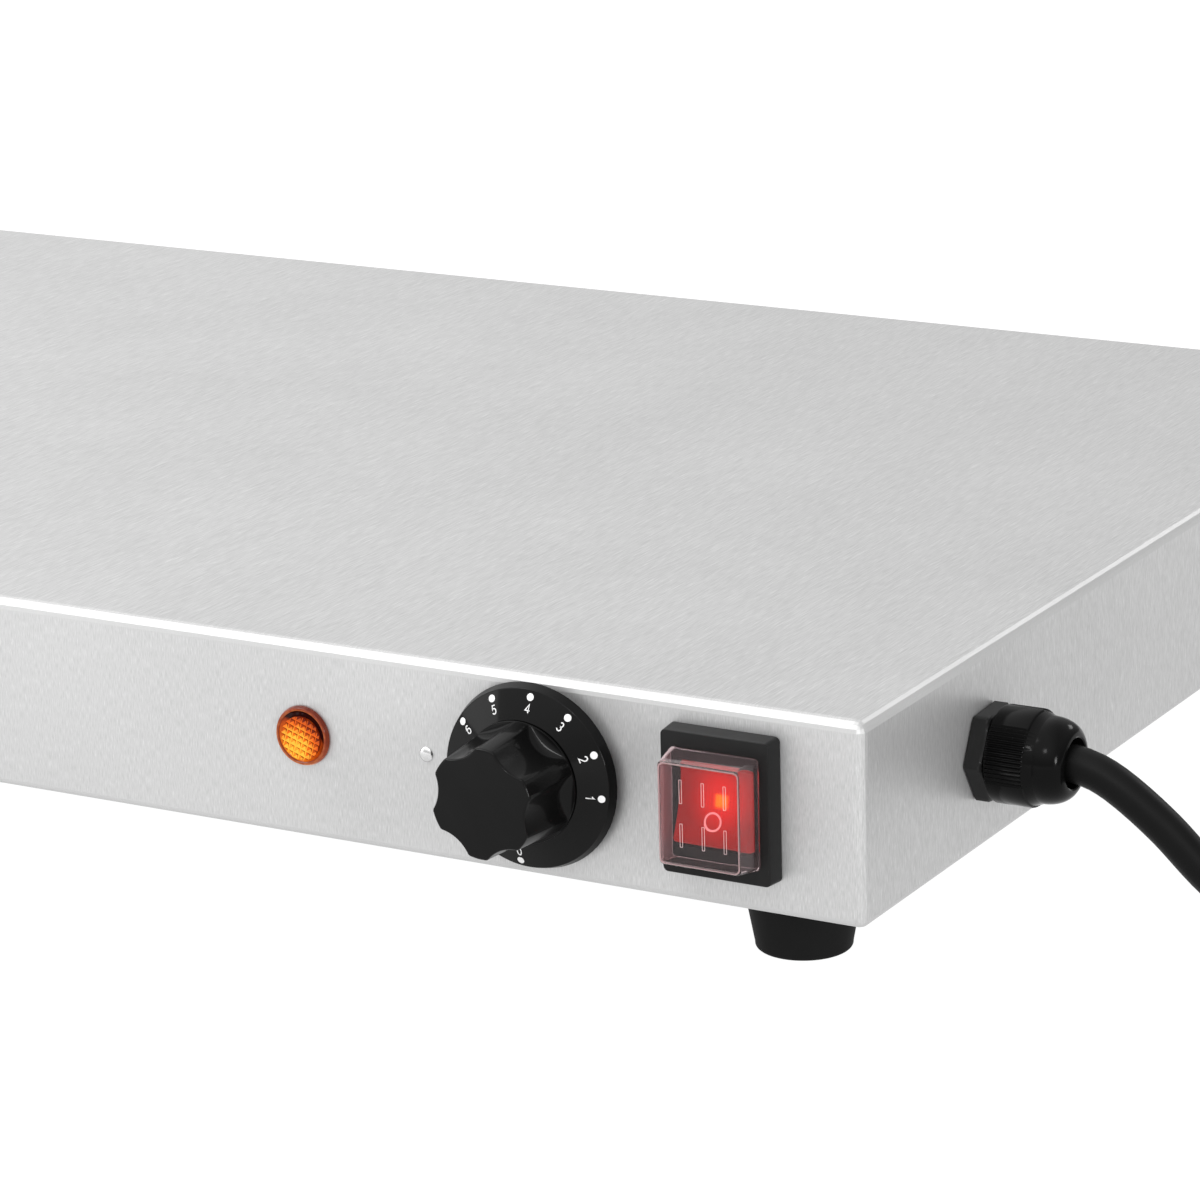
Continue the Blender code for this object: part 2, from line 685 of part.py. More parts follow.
def make_base_plate(shop):
    """Flat plate under the flange, with vent slots below the controls."""
    width = TRAY_WIDTH - 2 * BASE_INSET
    depth = TRAY_DEPTH - 2 * BASE_INSET
    outline = rounded_rectangle(width, depth, CORNER_RADIUS)
    data = extruded("bottom_plate", outline, BASE_SHEET, BASE_TOP_Z - BASE_SHEET)
    plate = shop.piece("bottom_plate", data, "zinc")
    cut_depth = BASE_SHEET + 2 * CUT_OVERRUN
    base = BASE_TOP_Z - BASE_SHEET - CUT_OVERRUN
    holes = [(place, FOOT_SCREW_RADIUS + CLEARANCE) for place in foot_places()]
    holes += [(place, PLATE_SCREW_RADIUS + CLEARANCE) for place in plate_screw_places()]
    for index, ((x, y), radius) in enumerate(holes, 1):
        name = f"cut_base_hole_{index}"
        data = cylinder(name, radius, cut_depth, base)
        cut(plate, shop.tool(name, data, shop.root, (x, y, 0)))
    slot = rounded_rectangle(VENT_WIDTH, VENT_LENGTH, VENT_WIDTH / 2 - CLEARANCE, 2)
    for index in range(VENT_COUNT):
        name = f"cut_vent_{index + 1}"
        x = DIAL_X + VENT_PITCH * (index - (VENT_COUNT - 1) / 2)
        data = extruded(name, slot, cut_depth, base)
        cut(plate, shop.tool(name, data, shop.root, (x, FRONT_Y + VENT_FROM_FRONT, 0)))


def screw_mesh(name, shank_radius, shank_top, head_radius, head_height, head_top):
    """Return a pan-head screw with its head below, standing up to shank_top."""
    low = head_top - head_height
    dome = head_height / 2
    profile = [(0, shank_top), (shank_radius, shank_top), (shank_radius, head_top)]
    profile += [(head_radius, head_top), (head_radius - dome, low), (0, low)]
    return turned(name, profile, SCREW_STEPS)


def make_feet(shop):
    """Four tapered rubber feet, each with a screw in its recess."""
    recess = FOOT_HEIGHT - FOOT_WEB
    hole = FOOT_SCREW_RADIUS + CLEARANCE
    edge = FOOT_EDGE_RADIUS
    profile = [(hole, FOOT_HEIGHT), (FOOT_TOP_RADIUS, FOOT_HEIGHT)]
    profile += arc((FOOT_BOTTOM_RADIUS - edge, edge), edge, 0, -90, ARC_STEPS // 2)
    profile += [(FOOT_RECESS_RADIUS, 0), (FOOT_RECESS_RADIUS, recess), (hole, recess)]
    foot = turned("foot", profile, FOOT_STEPS)
    screw = screw_mesh(
        "foot_screw", FOOT_SCREW_RADIUS, BASE_TOP_Z + FOOT_SCREW_REACH,
        FOOT_SCREW_HEAD_RADIUS, FOOT_SCREW_HEAD, recess - CLEARANCE,
    )
    for index, (x, y) in enumerate(foot_places(), 1):
        shop.piece(f"foot_{index}", foot, "black_rubber", location=(x, y, 0))
        shop.piece(f"foot_screw_{index}", screw, "zinc", location=(x, y, 0))


def make_plate_screws(shop):
    """Four screws that hold the base plate to the flange."""
    screw = screw_mesh(
        "plate_screw", PLATE_SCREW_RADIUS, BASE_TOP_Z + PLATE_SCREW_REACH,
        PLATE_SCREW_HEAD_RADIUS, PLATE_SCREW_HEAD, BASE_TOP_Z - BASE_SHEET - CLEARANCE,
    )
    for index, (x, y) in enumerate(plate_screw_places(), 1):
        shop.piece(f"plate_screw_{index}", screw, "zinc", location=(x, y, 0))


def element_route():
    """Return the centre line of the heating element, run after run."""
    bend = ELEMENT_RUN_PITCH / 2
    end = ELEMENT_HALF_RUN + ELEMENT_TAIL
    route = [(end, FIRST_RUN_Y)]
    for run in range(ELEMENT_RUN_COUNT - 1):
        y = FIRST_RUN_Y + ELEMENT_RUN_PITCH * run
        side = -1 if run % 2 == 0 else 1
        route += arc((side * (ELEMENT_HALF_RUN - bend), y + bend), bend, -90, -90 + side * 180, 8)
    route.append((end, FIRST_RUN_Y + HEATER_DEPTH))
    return [(x, y, ELEMENT_Z) for x, y in route]


def make_heating_stack(shop):
    """Heat spreader, element, clamp bars with their nuts, and the insulation."""
    outline = rounded_rectangle(SPREADER_WIDTH, SPREADER_DEPTH, SPREADER_CORNER)
    data = extruded("heat_spreader", outline, SPREADER_THICKNESS, SPREADER_BASE_Z)
    spreader = shop.piece("heat_spreader", data, "aluminium", location=(0, HEATER_MIDDLE_Y, 0))
    route = element_route()
    pin_end = ELEMENT_HALF_RUN + ELEMENT_TAIL + ELEMENT_PIN_LENGTH
    pin_start = ELEMENT_HALF_RUN + ELEMENT_TAIL + CLEARANCE
    first, last = route[0], route[-1]
    points = [(pin_end, *first[1:]), (pin_start, *first[1:])] + route
    points += [(pin_start, *last[1:]), (pin_end, *last[1:])]
    pin = [ELEMENT_PIN_RADIUS, ELEMENT_PIN_RADIUS]
    radii = pin + [ELEMENT_RADIUS] * len(route) + pin
    data = tube("heating_element", points, ELEMENT_RADIUS, 2, radii)
    shop.piece("heating_element", data, "element_steel")
    bar_length = HEATER_DEPTH + 2 * (ELEMENT_RADIUS + BAR_OVERHANG)
    for label, x in (("left", -BAR_OFFSET), ("right", BAR_OFFSET)):
        name = f"clamp_bar_{label}"
        data = block(name, BAR_WIDTH, bar_length, BAR_THICKNESS, BAR_BASE_Z)
        bar = shop.piece(name, data, "zinc", location=(x, HEATER_MIDDLE_Y, 0))
        for index, (stud_x, y) in enumerate(stud_places(), 1):
            if stud_x == x:
                cut_stud_hole(shop, bar, f"cut_bar_{index}", (x, y), BAR_BASE_Z, BAR_THICKNESS)
    for index, place in enumerate(stud_places(), 1):
        name = f"cut_spreader_{index}"
        cut_stud_hole(shop, spreader, name, place, SPREADER_BASE_Z, SPREADER_THICKNESS)
        name = f"clamp_nut_{index}"
        data = nut_mesh(name, NUT_RADIUS, NUT_HEIGHT, STUD_RADIUS, NUT_TOP_Z - NUT_HEIGHT)
        shop.piece(name, data, "zinc", location=(*place, 0))
    blanket_base = BASE_TOP_Z + CLEARANCE
    data = block("insulation_blanket", BLANKET_WIDTH, BLANKET_DEPTH, BLANKET_THICKNESS, blanket_base)
    blanket = shop.piece("insulation_blanket", data, "mineral_wool", location=(0, HEATER_MIDDLE_Y, 0))
    bevel(blanket, BLANKET_EDGE)


def cut_stud_hole(shop, target, name, place, base, thickness):
    """Clear a welded stud through a plate."""
    data = cylinder(name, STUD_RADIUS + CLEARANCE, thickness + 2 * CUT_OVERRUN, base - CUT_OVERRUN)
    cut(target, shop.tool(name, data, shop.root, (*place, 0)))


def nut_mesh(name, radius, height, bore, base):
    """Return a hexagon nut with its bore."""
    outer = cylinder(name, radius, height, base, 6)
    nut = bpy.data.objects.new(name, outer)
    bpy.context.scene.collection.objects.link(nut)
    hole = cylinder(f"{name}_bore", bore + CLEARANCE, height + 2 * CUT_OVERRUN, base - CUT_OVERRUN)
    cutter = bpy.data.objects.new(f"{name}_bore", hole)
    bpy.context.scene.collection.objects.link(cutter)
    cut(nut, cutter)
    result = evaluated_mesh(nut, name)
    bpy.data.objects.remove(nut)
    bpy.data.objects.remove(cutter)
    return result


def make_pilot_lamp(shop):
    """Low amber lens with a leaning rim, on a barrel with spring shoulders."""
    place = (PILOT_X, CONTROL_HEIGHT, 0)
    field = LENS_HEIGHT - LENS_FIELD_DEPTH
    crest = LENS_RADIUS - LENS_LEAN - LENS_EDGE
    inner = crest - LENS_RIM
    profile = [(0, field), (inner, field), (inner + LENS_FIELD_DEPTH, LENS_HEIGHT)]
    profile += arc((crest, LENS_HEIGHT - LENS_EDGE), LENS_EDGE, 90, LENS_EDGE_END)
    stem_end = -SHEET - PILOT_CLIP_LENGTH
    profile += [(LENS_RADIUS, CLEARANCE), (LENS_STEM_RADIUS, CLEARANCE)]
    profile += [(LENS_STEM_RADIUS, stem_end), (0, stem_end)]
    shop.piece("pilot_lens", turned("pilot_lens", profile), "amber", shop.front, place)
    back = -SHEET - PILOT_BARREL_LENGTH
    clip_top = BEHIND_PANEL
    clip_base = clip_top - PILOT_CLIP_LENGTH
    outer = PILOT_BARREL_RADIUS
    bore = PILOT_BARREL_BORE
    floor = back + PILOT_BARREL_FLOOR
    profile = [(0, floor), (bore, floor), (bore, 0), (outer, 0), (outer, clip_top)]
    profile += [(PILOT_CLIP_RADIUS, clip_top), (outer, clip_base), (outer, back), (0, back)]
    shop.piece("pilot_body", turned("pilot_body", profile), "black_plastic", shop.front, place)


def d_section(radius, flat):
    """Return the outline of a round with one flat at +Y."""
    half = math.degrees(math.acos(flat / radius))
    return arc((0, 0), radius, 90 + half, 450 - half, SMALL_STEPS)


def grip_ring(lobe_radius, flute_share, height):
    """Return one section of the fluted grip, points spaced evenly round the lobes."""
    ring = []
    flute_centre = GRIP_VALLEY_RADIUS + GRIP_FLUTE_RADIUS
    pitch = math.tau / GRIP_LOBES
    steps = GRIP_LOBES * GRIP_LOBE_STEPS
    for index in range(steps):
        angle = math.tau * index / steps
        offset = (angle + pitch / 2) % pitch - pitch / 2
        from_flute = pitch / 2 - abs(offset)
        inside = GRIP_FLUTE_RADIUS ** 2 - (flute_centre * math.sin(from_flute)) ** 2
        reach = lobe_radius
        if inside > 0:
            reach = min(reach, flute_centre * math.cos(from_flute) - math.sqrt(inside))
        radius = lobe_radius + (reach - lobe_radius) * flute_share
        turned_angle = angle + math.radians(GRIP_LOBE_TURN)
        ring.append((radius * math.cos(turned_angle), radius * math.sin(turned_angle), height))
    return ring


def make_grip(shop, axis):
    """Fluted grip: a round base flange, flutes that run out on it and a flat front."""
    base = GRIP_BASE_OUT
    flange = base + GRIP_SKIRT
    front = GRIP_REACH
    shrink = GRIP_BASE_RADIUS - GRIP_LOBE_RADIUS
    rings = [grip_ring(GRIP_BASE_RADIUS, 0, base), grip_ring(GRIP_BASE_RADIUS, 0, flange)]
    run_out_shares = (0.3, 0.62, 0.85, 1.0)
    for index, share in enumerate(run_out_shares, 1):
        height = flange + GRIP_RUN_OUT * (index / len(run_out_shares)) ** 2
        radius = GRIP_BASE_RADIUS - shrink * (height - flange) / (front - flange)
        rings.append(grip_ring(radius, share, height))
    edge_radius = GRIP_LOBE_RADIUS + shrink * GRIP_EDGE / (front - flange)
    rings.append(grip_ring(edge_radius, 1, front - GRIP_EDGE))
    rings.append(grip_ring(GRIP_LOBE_RADIUS - GRIP_EDGE / 3, 1, front - GRIP_EDGE / 3))
    inset_share = 1 - GRIP_EDGE / GRIP_LOBE_RADIUS
    face = grip_ring(GRIP_LOBE_RADIUS, 1, front)
    rings.append([(x * inset_share, y * inset_share, height) for x, y, height in face])
    grip = shop.piece("knob_grip", loft("knob_grip", rings), "black_plastic", axis)
    hub = cylinder("weld_hub", HUB_RADIUS, flange - DIAL_BACK_GAP, DIAL_BACK_GAP, ROUND_STEPS)
    join(grip, shop.tool("weld_hub", hub, axis))
    outline = d_section(SHAFT_RADIUS + CLEARANCE, SHAFT_FLAT + CLEARANCE)
    bore = extruded("cut_grip_bore", outline, GRIP_BORE_DEPTH + CUT_OVERRUN, DIAL_BACK_GAP - CUT_OVERRUN)
    cut(grip, shop.tool("cut_grip_bore", bore, axis))


def make_dial_skirt(shop, axis):
    """Dished ring behind the grip that carries the scale."""
    back = DIAL_BACK_GAP
    shoulder = back + DIAL_SIDE
    crown = shoulder + DIAL_CONE_RISE
    hole = HUB_RADIUS + CLEARANCE
    face_radius = DIAL_RADIUS - DIAL_SIDE_TAPER
    inner = DIAL_RADIUS - DIAL_WALL
    profile = [(hole, crown), (GRIP_BASE_RADIUS, crown), (face_radius, shoulder), (DIAL_RADIUS, back)]
    profile += [(inner, back), (face_radius - DIAL_WALL, shoulder - DIAL_WALL)]
    profile += [(GRIP_BASE_RADIUS, crown - DIAL_WALL), (hole, crown - DIAL_WALL)]
    shop.piece("dial_skirt", turned("dial_skirt", profile, FINE_STEPS), "black_plastic", axis)


def make_thermostat(shop, axis):
    """Thermostat body with its screws, turning shaft and sensor."""
    place = (DIAL_X, CONTROL_HEIGHT, 0)
    back = BEHIND_PANEL - THERMOSTAT_DEPTH
    data = block("thermostat_body", THERMOSTAT_WIDTH, THERMOSTAT_HEIGHT, THERMOSTAT_DEPTH, back)
    body = shop.piece("thermostat_body", data, "ceramic_white", shop.front, place)
    bevel(body, THERMOSTAT_EDGE)
    seat = BEHIND_PANEL - SHAFT_SEAT
    bore_radius = SHAFT_RADIUS + SHAFT_CLEARANCE
    bore = cylinder("cut_shaft_seat", bore_radius, SHAFT_SEAT + CUT_OVERRUN, seat, ROUND_STEPS)
    cut(body, shop.tool("cut_shaft_seat", bore, shop.front, place))
    screw = screw_mesh(
        "thermostat_screw", THERMOSTAT_SCREW_RADIUS, THERMOSTAT_SCREW_REACH,
        THERMOSTAT_SCREW_HEAD_RADIUS, THERMOSTAT_SCREW_HEAD, -CLEARANCE,
    )
    hole_depth = THERMOSTAT_SCREW_REACH + CLEARANCE
    for index, side in enumerate((-1, 1), 1):
        spot = (DIAL_X + side * THERMOSTAT_SCREW_SPACING / 2, CONTROL_HEIGHT, 0)
        name = f"cut_screw_seat_{index}"
        hole = cylinder(name, THERMOSTAT_SCREW_RADIUS + CLEARANCE, hole_depth + CUT_OVERRUN, -hole_depth)
        cut(body, shop.tool(name, hole, shop.front, spot))
        shop.piece(f"thermostat_screw_{index}", screw, "zinc", shop.front, spot, (math.pi, 0, 0))
    length = DIAL_BACK_GAP + GRIP_BORE_DEPTH - seat - 2 * CLEARANCE
    data = cylinder("thermostat_shaft", SHAFT_RADIUS, length, seat + CLEARANCE, ROUND_STEPS)
    shaft = shop.piece("thermostat_shaft", data, "zinc", axis)
    flat_width = 2 * SHAFT_RADIUS
    flat = block("cut_shaft_flat", flat_width, flat_width, GRIP_BORE_DEPTH + CUT_OVERRUN, DIAL_BACK_GAP)
    cut(shaft, shop.tool("cut_shaft_flat", flat, axis, (0, SHAFT_FLAT + SHAFT_RADIUS, 0)))
    make_capillary(shop)


def make_capillary(shop):
    """Sensor bulb clamped between the element's runs, with its thin tube."""
    bulb_y = FIRST_RUN_Y + BULB_OFFSET
    start = BAR_OFFSET - BULB_LENGTH / 2
    end = BAR_OFFSET + BULB_LENGTH / 2
    neck = end + 2 * CAPILLARY_RADIUS
    back = FRONT_Y + SHEET + CLEARANCE + THERMOSTAT_DEPTH + CLEARANCE
    outlet_z = PANEL_BASE_Z + CONTROL_HEIGHT + THERMOSTAT_HEIGHT / 4
    outlet_x = DIAL_X - THERMOSTAT_WIDTH / 8
    route = [
        (neck, bulb_y, ELEMENT_Z),
        (neck + BULB_OFFSET / 3, bulb_y - BULB_OFFSET / 8, ELEMENT_Z - ELEMENT_RADIUS),
        (outlet_x + BULB_OFFSET / 8, FIRST_RUN_Y, (ELEMENT_Z + outlet_z) / 2 - ELEMENT_RADIUS),
        (outlet_x, back + 2 * BULB_OFFSET / 3, outlet_z),
        (outlet_x, back, outlet_z),
    ]
    thin = smooth_route(route, 5 * CAPILLARY_RADIUS)
    points = [(start, bulb_y, ELEMENT_Z), (end, bulb_y, ELEMENT_Z)] + thin
    radii = [ELEMENT_RADIUS, ELEMENT_RADIUS] + [CAPILLARY_RADIUS] * len(thin)
    data = tube("thermostat_capillary", points, ELEMENT_RADIUS, 1, radii)
    shop.piece("thermostat_capillary", data, "copper")


def rounded_frustum(name, base_size, top_size, corner, base, top, edge):
    """Return a drafted block with round corners and a chamfered upper edge."""
    rings = []
    levels = [(0.0, 0.0), (1 - edge / (top - base), 0.0), (1.0, edge)]
    for share, inset in levels:
        width = base_size[0] + (top_size[0] - base_size[0]) * share - inset
        height = base_size[1] + (top_size[1] - base_size[1]) * share - inset
        level = base + (top - base) * share
        rings.append([(x, y, level) for x, y in rounded_rectangle(width, height, corner, 3)])
    return loft(name, rings)


def make_switch(shop):
    """Bezel, clear cover, housing with terminals, and the rocker on its own axis."""
    place = (SWITCH_X, CONTROL_HEIGHT, 0)
    opening_width = ROCKER_WIDTH + 2 * ROCKER_SIDE_GAP
    opening_height = 2 * (ROCKER_TIP_RADIUS + ROCKER_SIDE_GAP)
    outline = (BEZEL_WIDTH, BEZEL_HEIGHT)
    data = rounded_frustum(
        "switch_bezel", outline, outline, BEZEL_CORNER, CLEARANCE, BEZEL_DEPTH, BEZEL_EDGE
    )
    bezel = shop.piece("switch_bezel", data, "black_plastic", shop.front, place)
    hole = block("cut_bezel", opening_width, opening_height, BEZEL_DEPTH + 2 * CUT_OVERRUN, -CUT_OVERRUN)
    cut(bezel, shop.tool("cut_bezel", hole, shop.front, place))
    seat_length = PIVOT_LENGTH + 2 * CLEARANCE
    seat = cylinder("cut_pivot", PIVOT_RADIUS + SHAFT_CLEARANCE, seat_length, -seat_length / 2)
    pivot = (SWITCH_X, CONTROL_HEIGHT, ROCKER_AXIS_OUT)
    cut(bezel, shop.tool("cut_pivot", seat, shop.front, pivot, (0, math.pi / 2, 0)))
    make_switch_cover(shop, place)
    data = block("switch_housing", HOUSING_WIDTH, HOUSING_HEIGHT, HOUSING_DEPTH, -HOUSING_DEPTH)
    housing = shop.piece("switch_housing", data, "black_plastic", shop.front, place)
    depth = HOUSING_DEPTH - HOUSING_FLOOR
    pocket = block("cut_housing", opening_width, opening_height, depth + CUT_OVERRUN, -depth)
    cut(housing, shop.tool("cut_housing", pocket, shop.front, place))
    blade_end = -HOUSING_DEPTH - CLEARANCE - TERMINAL_LENGTH
    blade = block(
        "switch_terminal", TERMINAL_THICKNESS, TERMINAL_WIDTH, TERMINAL_LENGTH, blade_end
    )
    for index, (x, y) in enumerate(terminal_places(), 1):
        spot = (SWITCH_X + x, CONTROL_HEIGHT + y, 0)
        shop.piece(f"switch_terminal_{index}", blade, "brass", shop.front, spot)
    make_rocker(shop)


def terminal_places():
    """Return the switch terminals' places about the switch's middle."""
    x = TERMINAL_SPACING_X / 2
    y = TERMINAL_SPACING_Z / 2
    return [(-x, y), (x, y), (-x, -y), (x, -y)]


def make_switch_cover(shop, place):
    """Clear cap over the rocker, drafted and hollow."""
    base = BEZEL_DEPTH + CLEARANCE
    top = base + COVER_RISE
    base_size = (COVER_BASE_WIDTH, COVER_BASE_HEIGHT)
    top_size = (COVER_TOP_WIDTH, COVER_TOP_HEIGHT)
    data = rounded_frustum("switch_cover", base_size, top_size, COVER_CORNER, base, top, COVER_EDGE)
    cover = shop.piece("switch_cover", data, "clear_cover", shop.front, place)
    wall = 2 * COVER_WALL
    inner_base = (base_size[0] - wall, base_size[1] - wall)
    inner_top = (top_size[0] - wall, top_size[1] - wall)
    radius = COVER_CORNER - COVER_WALL
    hollow = rounded_frustum(
        "cut_cover", inner_base, inner_top, radius, base - COVER_WALL, top - COVER_WALL, COVER_EDGE / 2
    )
    cut(cover, shop.tool("cut_cover", hollow, shop.front, place))


def make_rocker(shop):
    """Rocker with a dished face, tilted to its ON position about its pivot."""
    pivot = (SWITCH_X, CONTROL_HEIGHT, ROCKER_AXIS_OUT)
    axis = shop.new_empty("rocker_axis", pivot, (0, 0, 0), shop.front)
    tip = ROCKER_TIP_ANGLE
    half_length = ROCKER_TIP_RADIUS * math.cos(math.radians(tip))
    tip_height = ROCKER_TIP_RADIUS * math.sin(math.radians(tip))
    back_angle = math.degrees(math.asin(ROCKER_BACK / ROCKER_TIP_RADIUS))
    dish_radius = (half_length ** 2 + ROCKER_DISH ** 2) / (2 * ROCKER_DISH)
    dish_half = math.degrees(math.asin(half_length / dish_radius))
    outline = arc((0, 0), ROCKER_TIP_RADIUS, -back_angle, tip)
    dish_centre = (0, tip_height - ROCKER_DISH + dish_radius)
    outline += arc(dish_centre, dish_radius, -90 + dish_half, -90 - dish_half, 2 * ARC_STEPS)[1:-1]
    outline += arc((0, 0), ROCKER_TIP_RADIUS, 180 - tip, 180 + back_angle)
    data = extruded("switch_rocker", outline, ROCKER_WIDTH, -ROCKER_WIDTH / 2)
    quarter = math.pi / 2
    data.transform(Matrix.Rotation(quarter, 4, "Y") @ Matrix.Rotation(quarter, 4, "Z"))
    tilt = math.radians(-ROCKER_TILT)
    data.transform(Matrix.Rotation(tilt, 4, "X"))
    rocker = shop.piece("switch_rocker", data, "red_rocker", axis)
    pivot_pin = cylinder("weld_pivot", PIVOT_RADIUS, PIVOT_LENGTH, -PIVOT_LENGTH / 2)
    join(rocker, shop.tool("weld_pivot", pivot_pin, axis, rotation=(0, quarter, 0)))


def make_gland(shop):
    """Hexagon body, ribbed dome nut, rubber seal and inner locknut."""
    place = (GLAND_Y, GLAND_HEIGHT, 0)
    turn = math.radians(GLAND_HEX_TURN)
    hexagon = cylinder("gland_body", GLAND_HEX_RADIUS, GLAND_HEX_LENGTH - CLEARANCE, CLEARANCE, 6, turn)
    body = shop.piece("gland_body", hexagon, "grey_nylon", shop.side, place)
    chamfer = GLAND_HEX_CHAMFER
    crown = GLAND_HEX_RADIUS - chamfer / 2
    top = GLAND_HEX_LENGTH
    profile = [(0, top), (crown - chamfer, top), (crown, top - chamfer), (crown, 0), (0, 0)]
    data = turned("round_gland_hexagon", profile)
    boolean(body, shop.tool("round_gland_hexagon", data, shop.side, place), "INTERSECT")
    back = -SHEET - GLAND_THREAD_LENGTH
    neck_end = GLAND_HEX_LENGTH + GLAND_NECK_LENGTH
    middle = GLAND_HEX_LENGTH / 2
    profile = [(0, neck_end), (GLAND_NECK_RADIUS, neck_end), (GLAND_NECK_RADIUS, middle)]
    profile += [(GLAND_THREAD_RADIUS, middle), (GLAND_THREAD_RADIUS, back), (0, back)]
    thread = shop.tool("weld_gland_thread", turned("weld_gland_thread", profile), shop.side, place)
    join(body, thread)
    bore_length = neck_end - back + 2 * CUT_OVERRUN
    bore = cylinder("cut_gland_bore", CORD_RADIUS + CLEARANCE, bore_length, back - CUT_OVERRUN, ROUND_STEPS)
    cut(body, shop.tool("cut_gland_bore", bore, shop.side, place))
    make_gland_nut(shop, place)
    seal = turned("gland_seal", [
        (CORD_RADIUS + CLEARANCE, SEAL_START + GLAND_SEAL_LENGTH),
        (GLAND_MOUTH_RADIUS, SEAL_START + GLAND_SEAL_LENGTH),
        (GLAND_SEAL_RADIUS, SEAL_START + GLAND_SEAL_LENGTH / 2),
        (GLAND_SEAL_RADIUS, SEAL_START),
        (CORD_RADIUS + CLEARANCE, SEAL_START),
    ])
    shop.piece("gland_seal", seal, "black_rubber", shop.side, place)
    locknut = nut_mesh(
        "gland_locknut", LOCKNUT_RADIUS, LOCKNUT_LENGTH, GLAND_THREAD_RADIUS,
        BEHIND_PANEL - LOCKNUT_LENGTH,
    )
    shop.piece("gland_locknut", locknut, "grey_nylon", shop.side, place)


def nut_section(radius, rib_depth, height):
    """Return one section of the dome nut, ribbed in three sectors and plain between."""
    ring = []
    sector = 360 / GLAND_RIB_SECTORS
    plain_steps = 4
    for index in range(GLAND_RIB_SECTORS):
        middle = 180 - GLAND_RIB_TURN + sector * index
        start = middle - GLAND_RIB_SPAN / 2
        for step in range(2 * GLAND_RIBS + 1):
            angle = math.radians(start + GLAND_RIB_SPAN * step / (2 * GLAND_RIBS))
            reach = radius - rib_depth * (step % 2)
            ring.append((reach * math.cos(angle), reach * math.sin(angle), height))
        gap = sector - GLAND_RIB_SPAN
        for step in range(1, plain_steps):
            angle = math.radians(start + GLAND_RIB_SPAN + gap * step / plain_steps)
            ring.append((radius * math.cos(angle), radius * math.sin(angle), height))
    return ring


def make_gland_nut(shop, place):
    """Dome nut: ribbed barrel, shoulder and a dome with a round mouth."""
    start = GLAND_NUT_START
    barrel_end = start + GLAND_NUT_LENGTH
    edge = GLAND_RIB_DEPTH
    rings = [nut_section(GLAND_NUT_RADIUS - edge, 0, start)]
    rings.append(nut_section(GLAND_NUT_RADIUS, edge, start + edge))
    rings.append(nut_section(GLAND_NUT_RADIUS, edge, barrel_end - edge))
    rings.append(nut_section(GLAND_NUT_RADIUS - edge, 0, barrel_end))
    dome_steps = 4
    for index in range(dome_steps + 1):
        angle = math.pi / 2 * index / dome_steps
        drop = (GLAND_SHOULDER_RADIUS - GLAND_MOUTH_RADIUS) * (1 - math.cos(angle))
        level = GLAND_DOME_START + GLAND_DOME_LENGTH * math.sin(angle)
        rings.append(nut_section(GLAND_SHOULDER_RADIUS - drop, 0, level))
    nut = shop.piece("gland_nut", loft("gland_nut", rings), "grey_nylon", shop.side, place)
    inner = GLAND_NECK_RADIUS + CLEARANCE
    mouth = GLAND_MOUTH_RADIUS - CLEARANCE
    seal_end = SEAL_START + GLAND_SEAL_LENGTH
    low = start - CUT_OVERRUN
    high = GLAND_REACH + CUT_OVERRUN
    profile = [(0, high), (mouth, high), (mouth, seal_end + CLEARANCE)]
    profile += [(GLAND_MOUTH_RADIUS + CLEARANCE, seal_end), (inner, seal_end - GLAND_SEAL_LENGTH / 2)]
    profile += [(inner, low), (0, low)]
    hollow = turned("cut_nut_hollow", profile)
    cut(nut, shop.tool("cut_nut_hollow", hollow, shop.side, place))


def coil_points(centre):
    """Return the coil's centre line: in, up a layer, and out again."""
    pitch = 2 * CORD_RADIUS + COIL_GAP
    low = CORD_REST_Z
    inner = COIL_RADIUS - pitch * COIL_LOOPS_IN
    total = COIL_LOOPS_IN + COIL_LOOPS_UP + COIL_LOOPS_OUT
    count = round(total * COIL_POINTS_PER_LOOP)
    points = []
    for index in range(count + 1):
        turns = total * index / count
        if turns <= COIL_LOOPS_IN:
            radius = COIL_RADIUS - pitch * turns
            height = low
        elif turns <= COIL_LOOPS_IN + COIL_LOOPS_UP:
            share = (turns - COIL_LOOPS_IN) / COIL_LOOPS_UP
            radius = inner - pitch * min(share, 1 - share) / 2
            height = low + pitch * (1 - math.cos(math.pi * share)) / 2
        else:
            radius = inner + pitch * (turns - COIL_LOOPS_IN - COIL_LOOPS_UP)
            height = low + pitch
        angle = math.tau * turns - math.pi / 2
        x = centre[0] + radius * math.cos(angle)
        y = centre[1] + radius * math.sin(angle)
        points.append(Vector((x, y, height)))
    lead_in = Vector((-2 * CORD_RADIUS, 0, 0))
    lead_out = Vector((0, 2 * CORD_RADIUS, 0))
    return [points[0] + lead_in] + points + [points[-1] + lead_out]


def least_self_gap(points, radius):
    """Return the smallest gap of a wound tube to itself, measured between its segments."""
    skip = round(COIL_POINTS_PER_LOOP / 3)
    least = math.inf
    for index, point in enumerate(points):
        for other in range(index + skip, len(points) - 1):
            start, end = points[other], points[other + 1]
            along = end - start
            share = max(0.0, min(1.0, (point - start).dot(along) / along.length_squared))
            least = min(least, (point - (start + along * share)).length - 2 * radius)
    return least


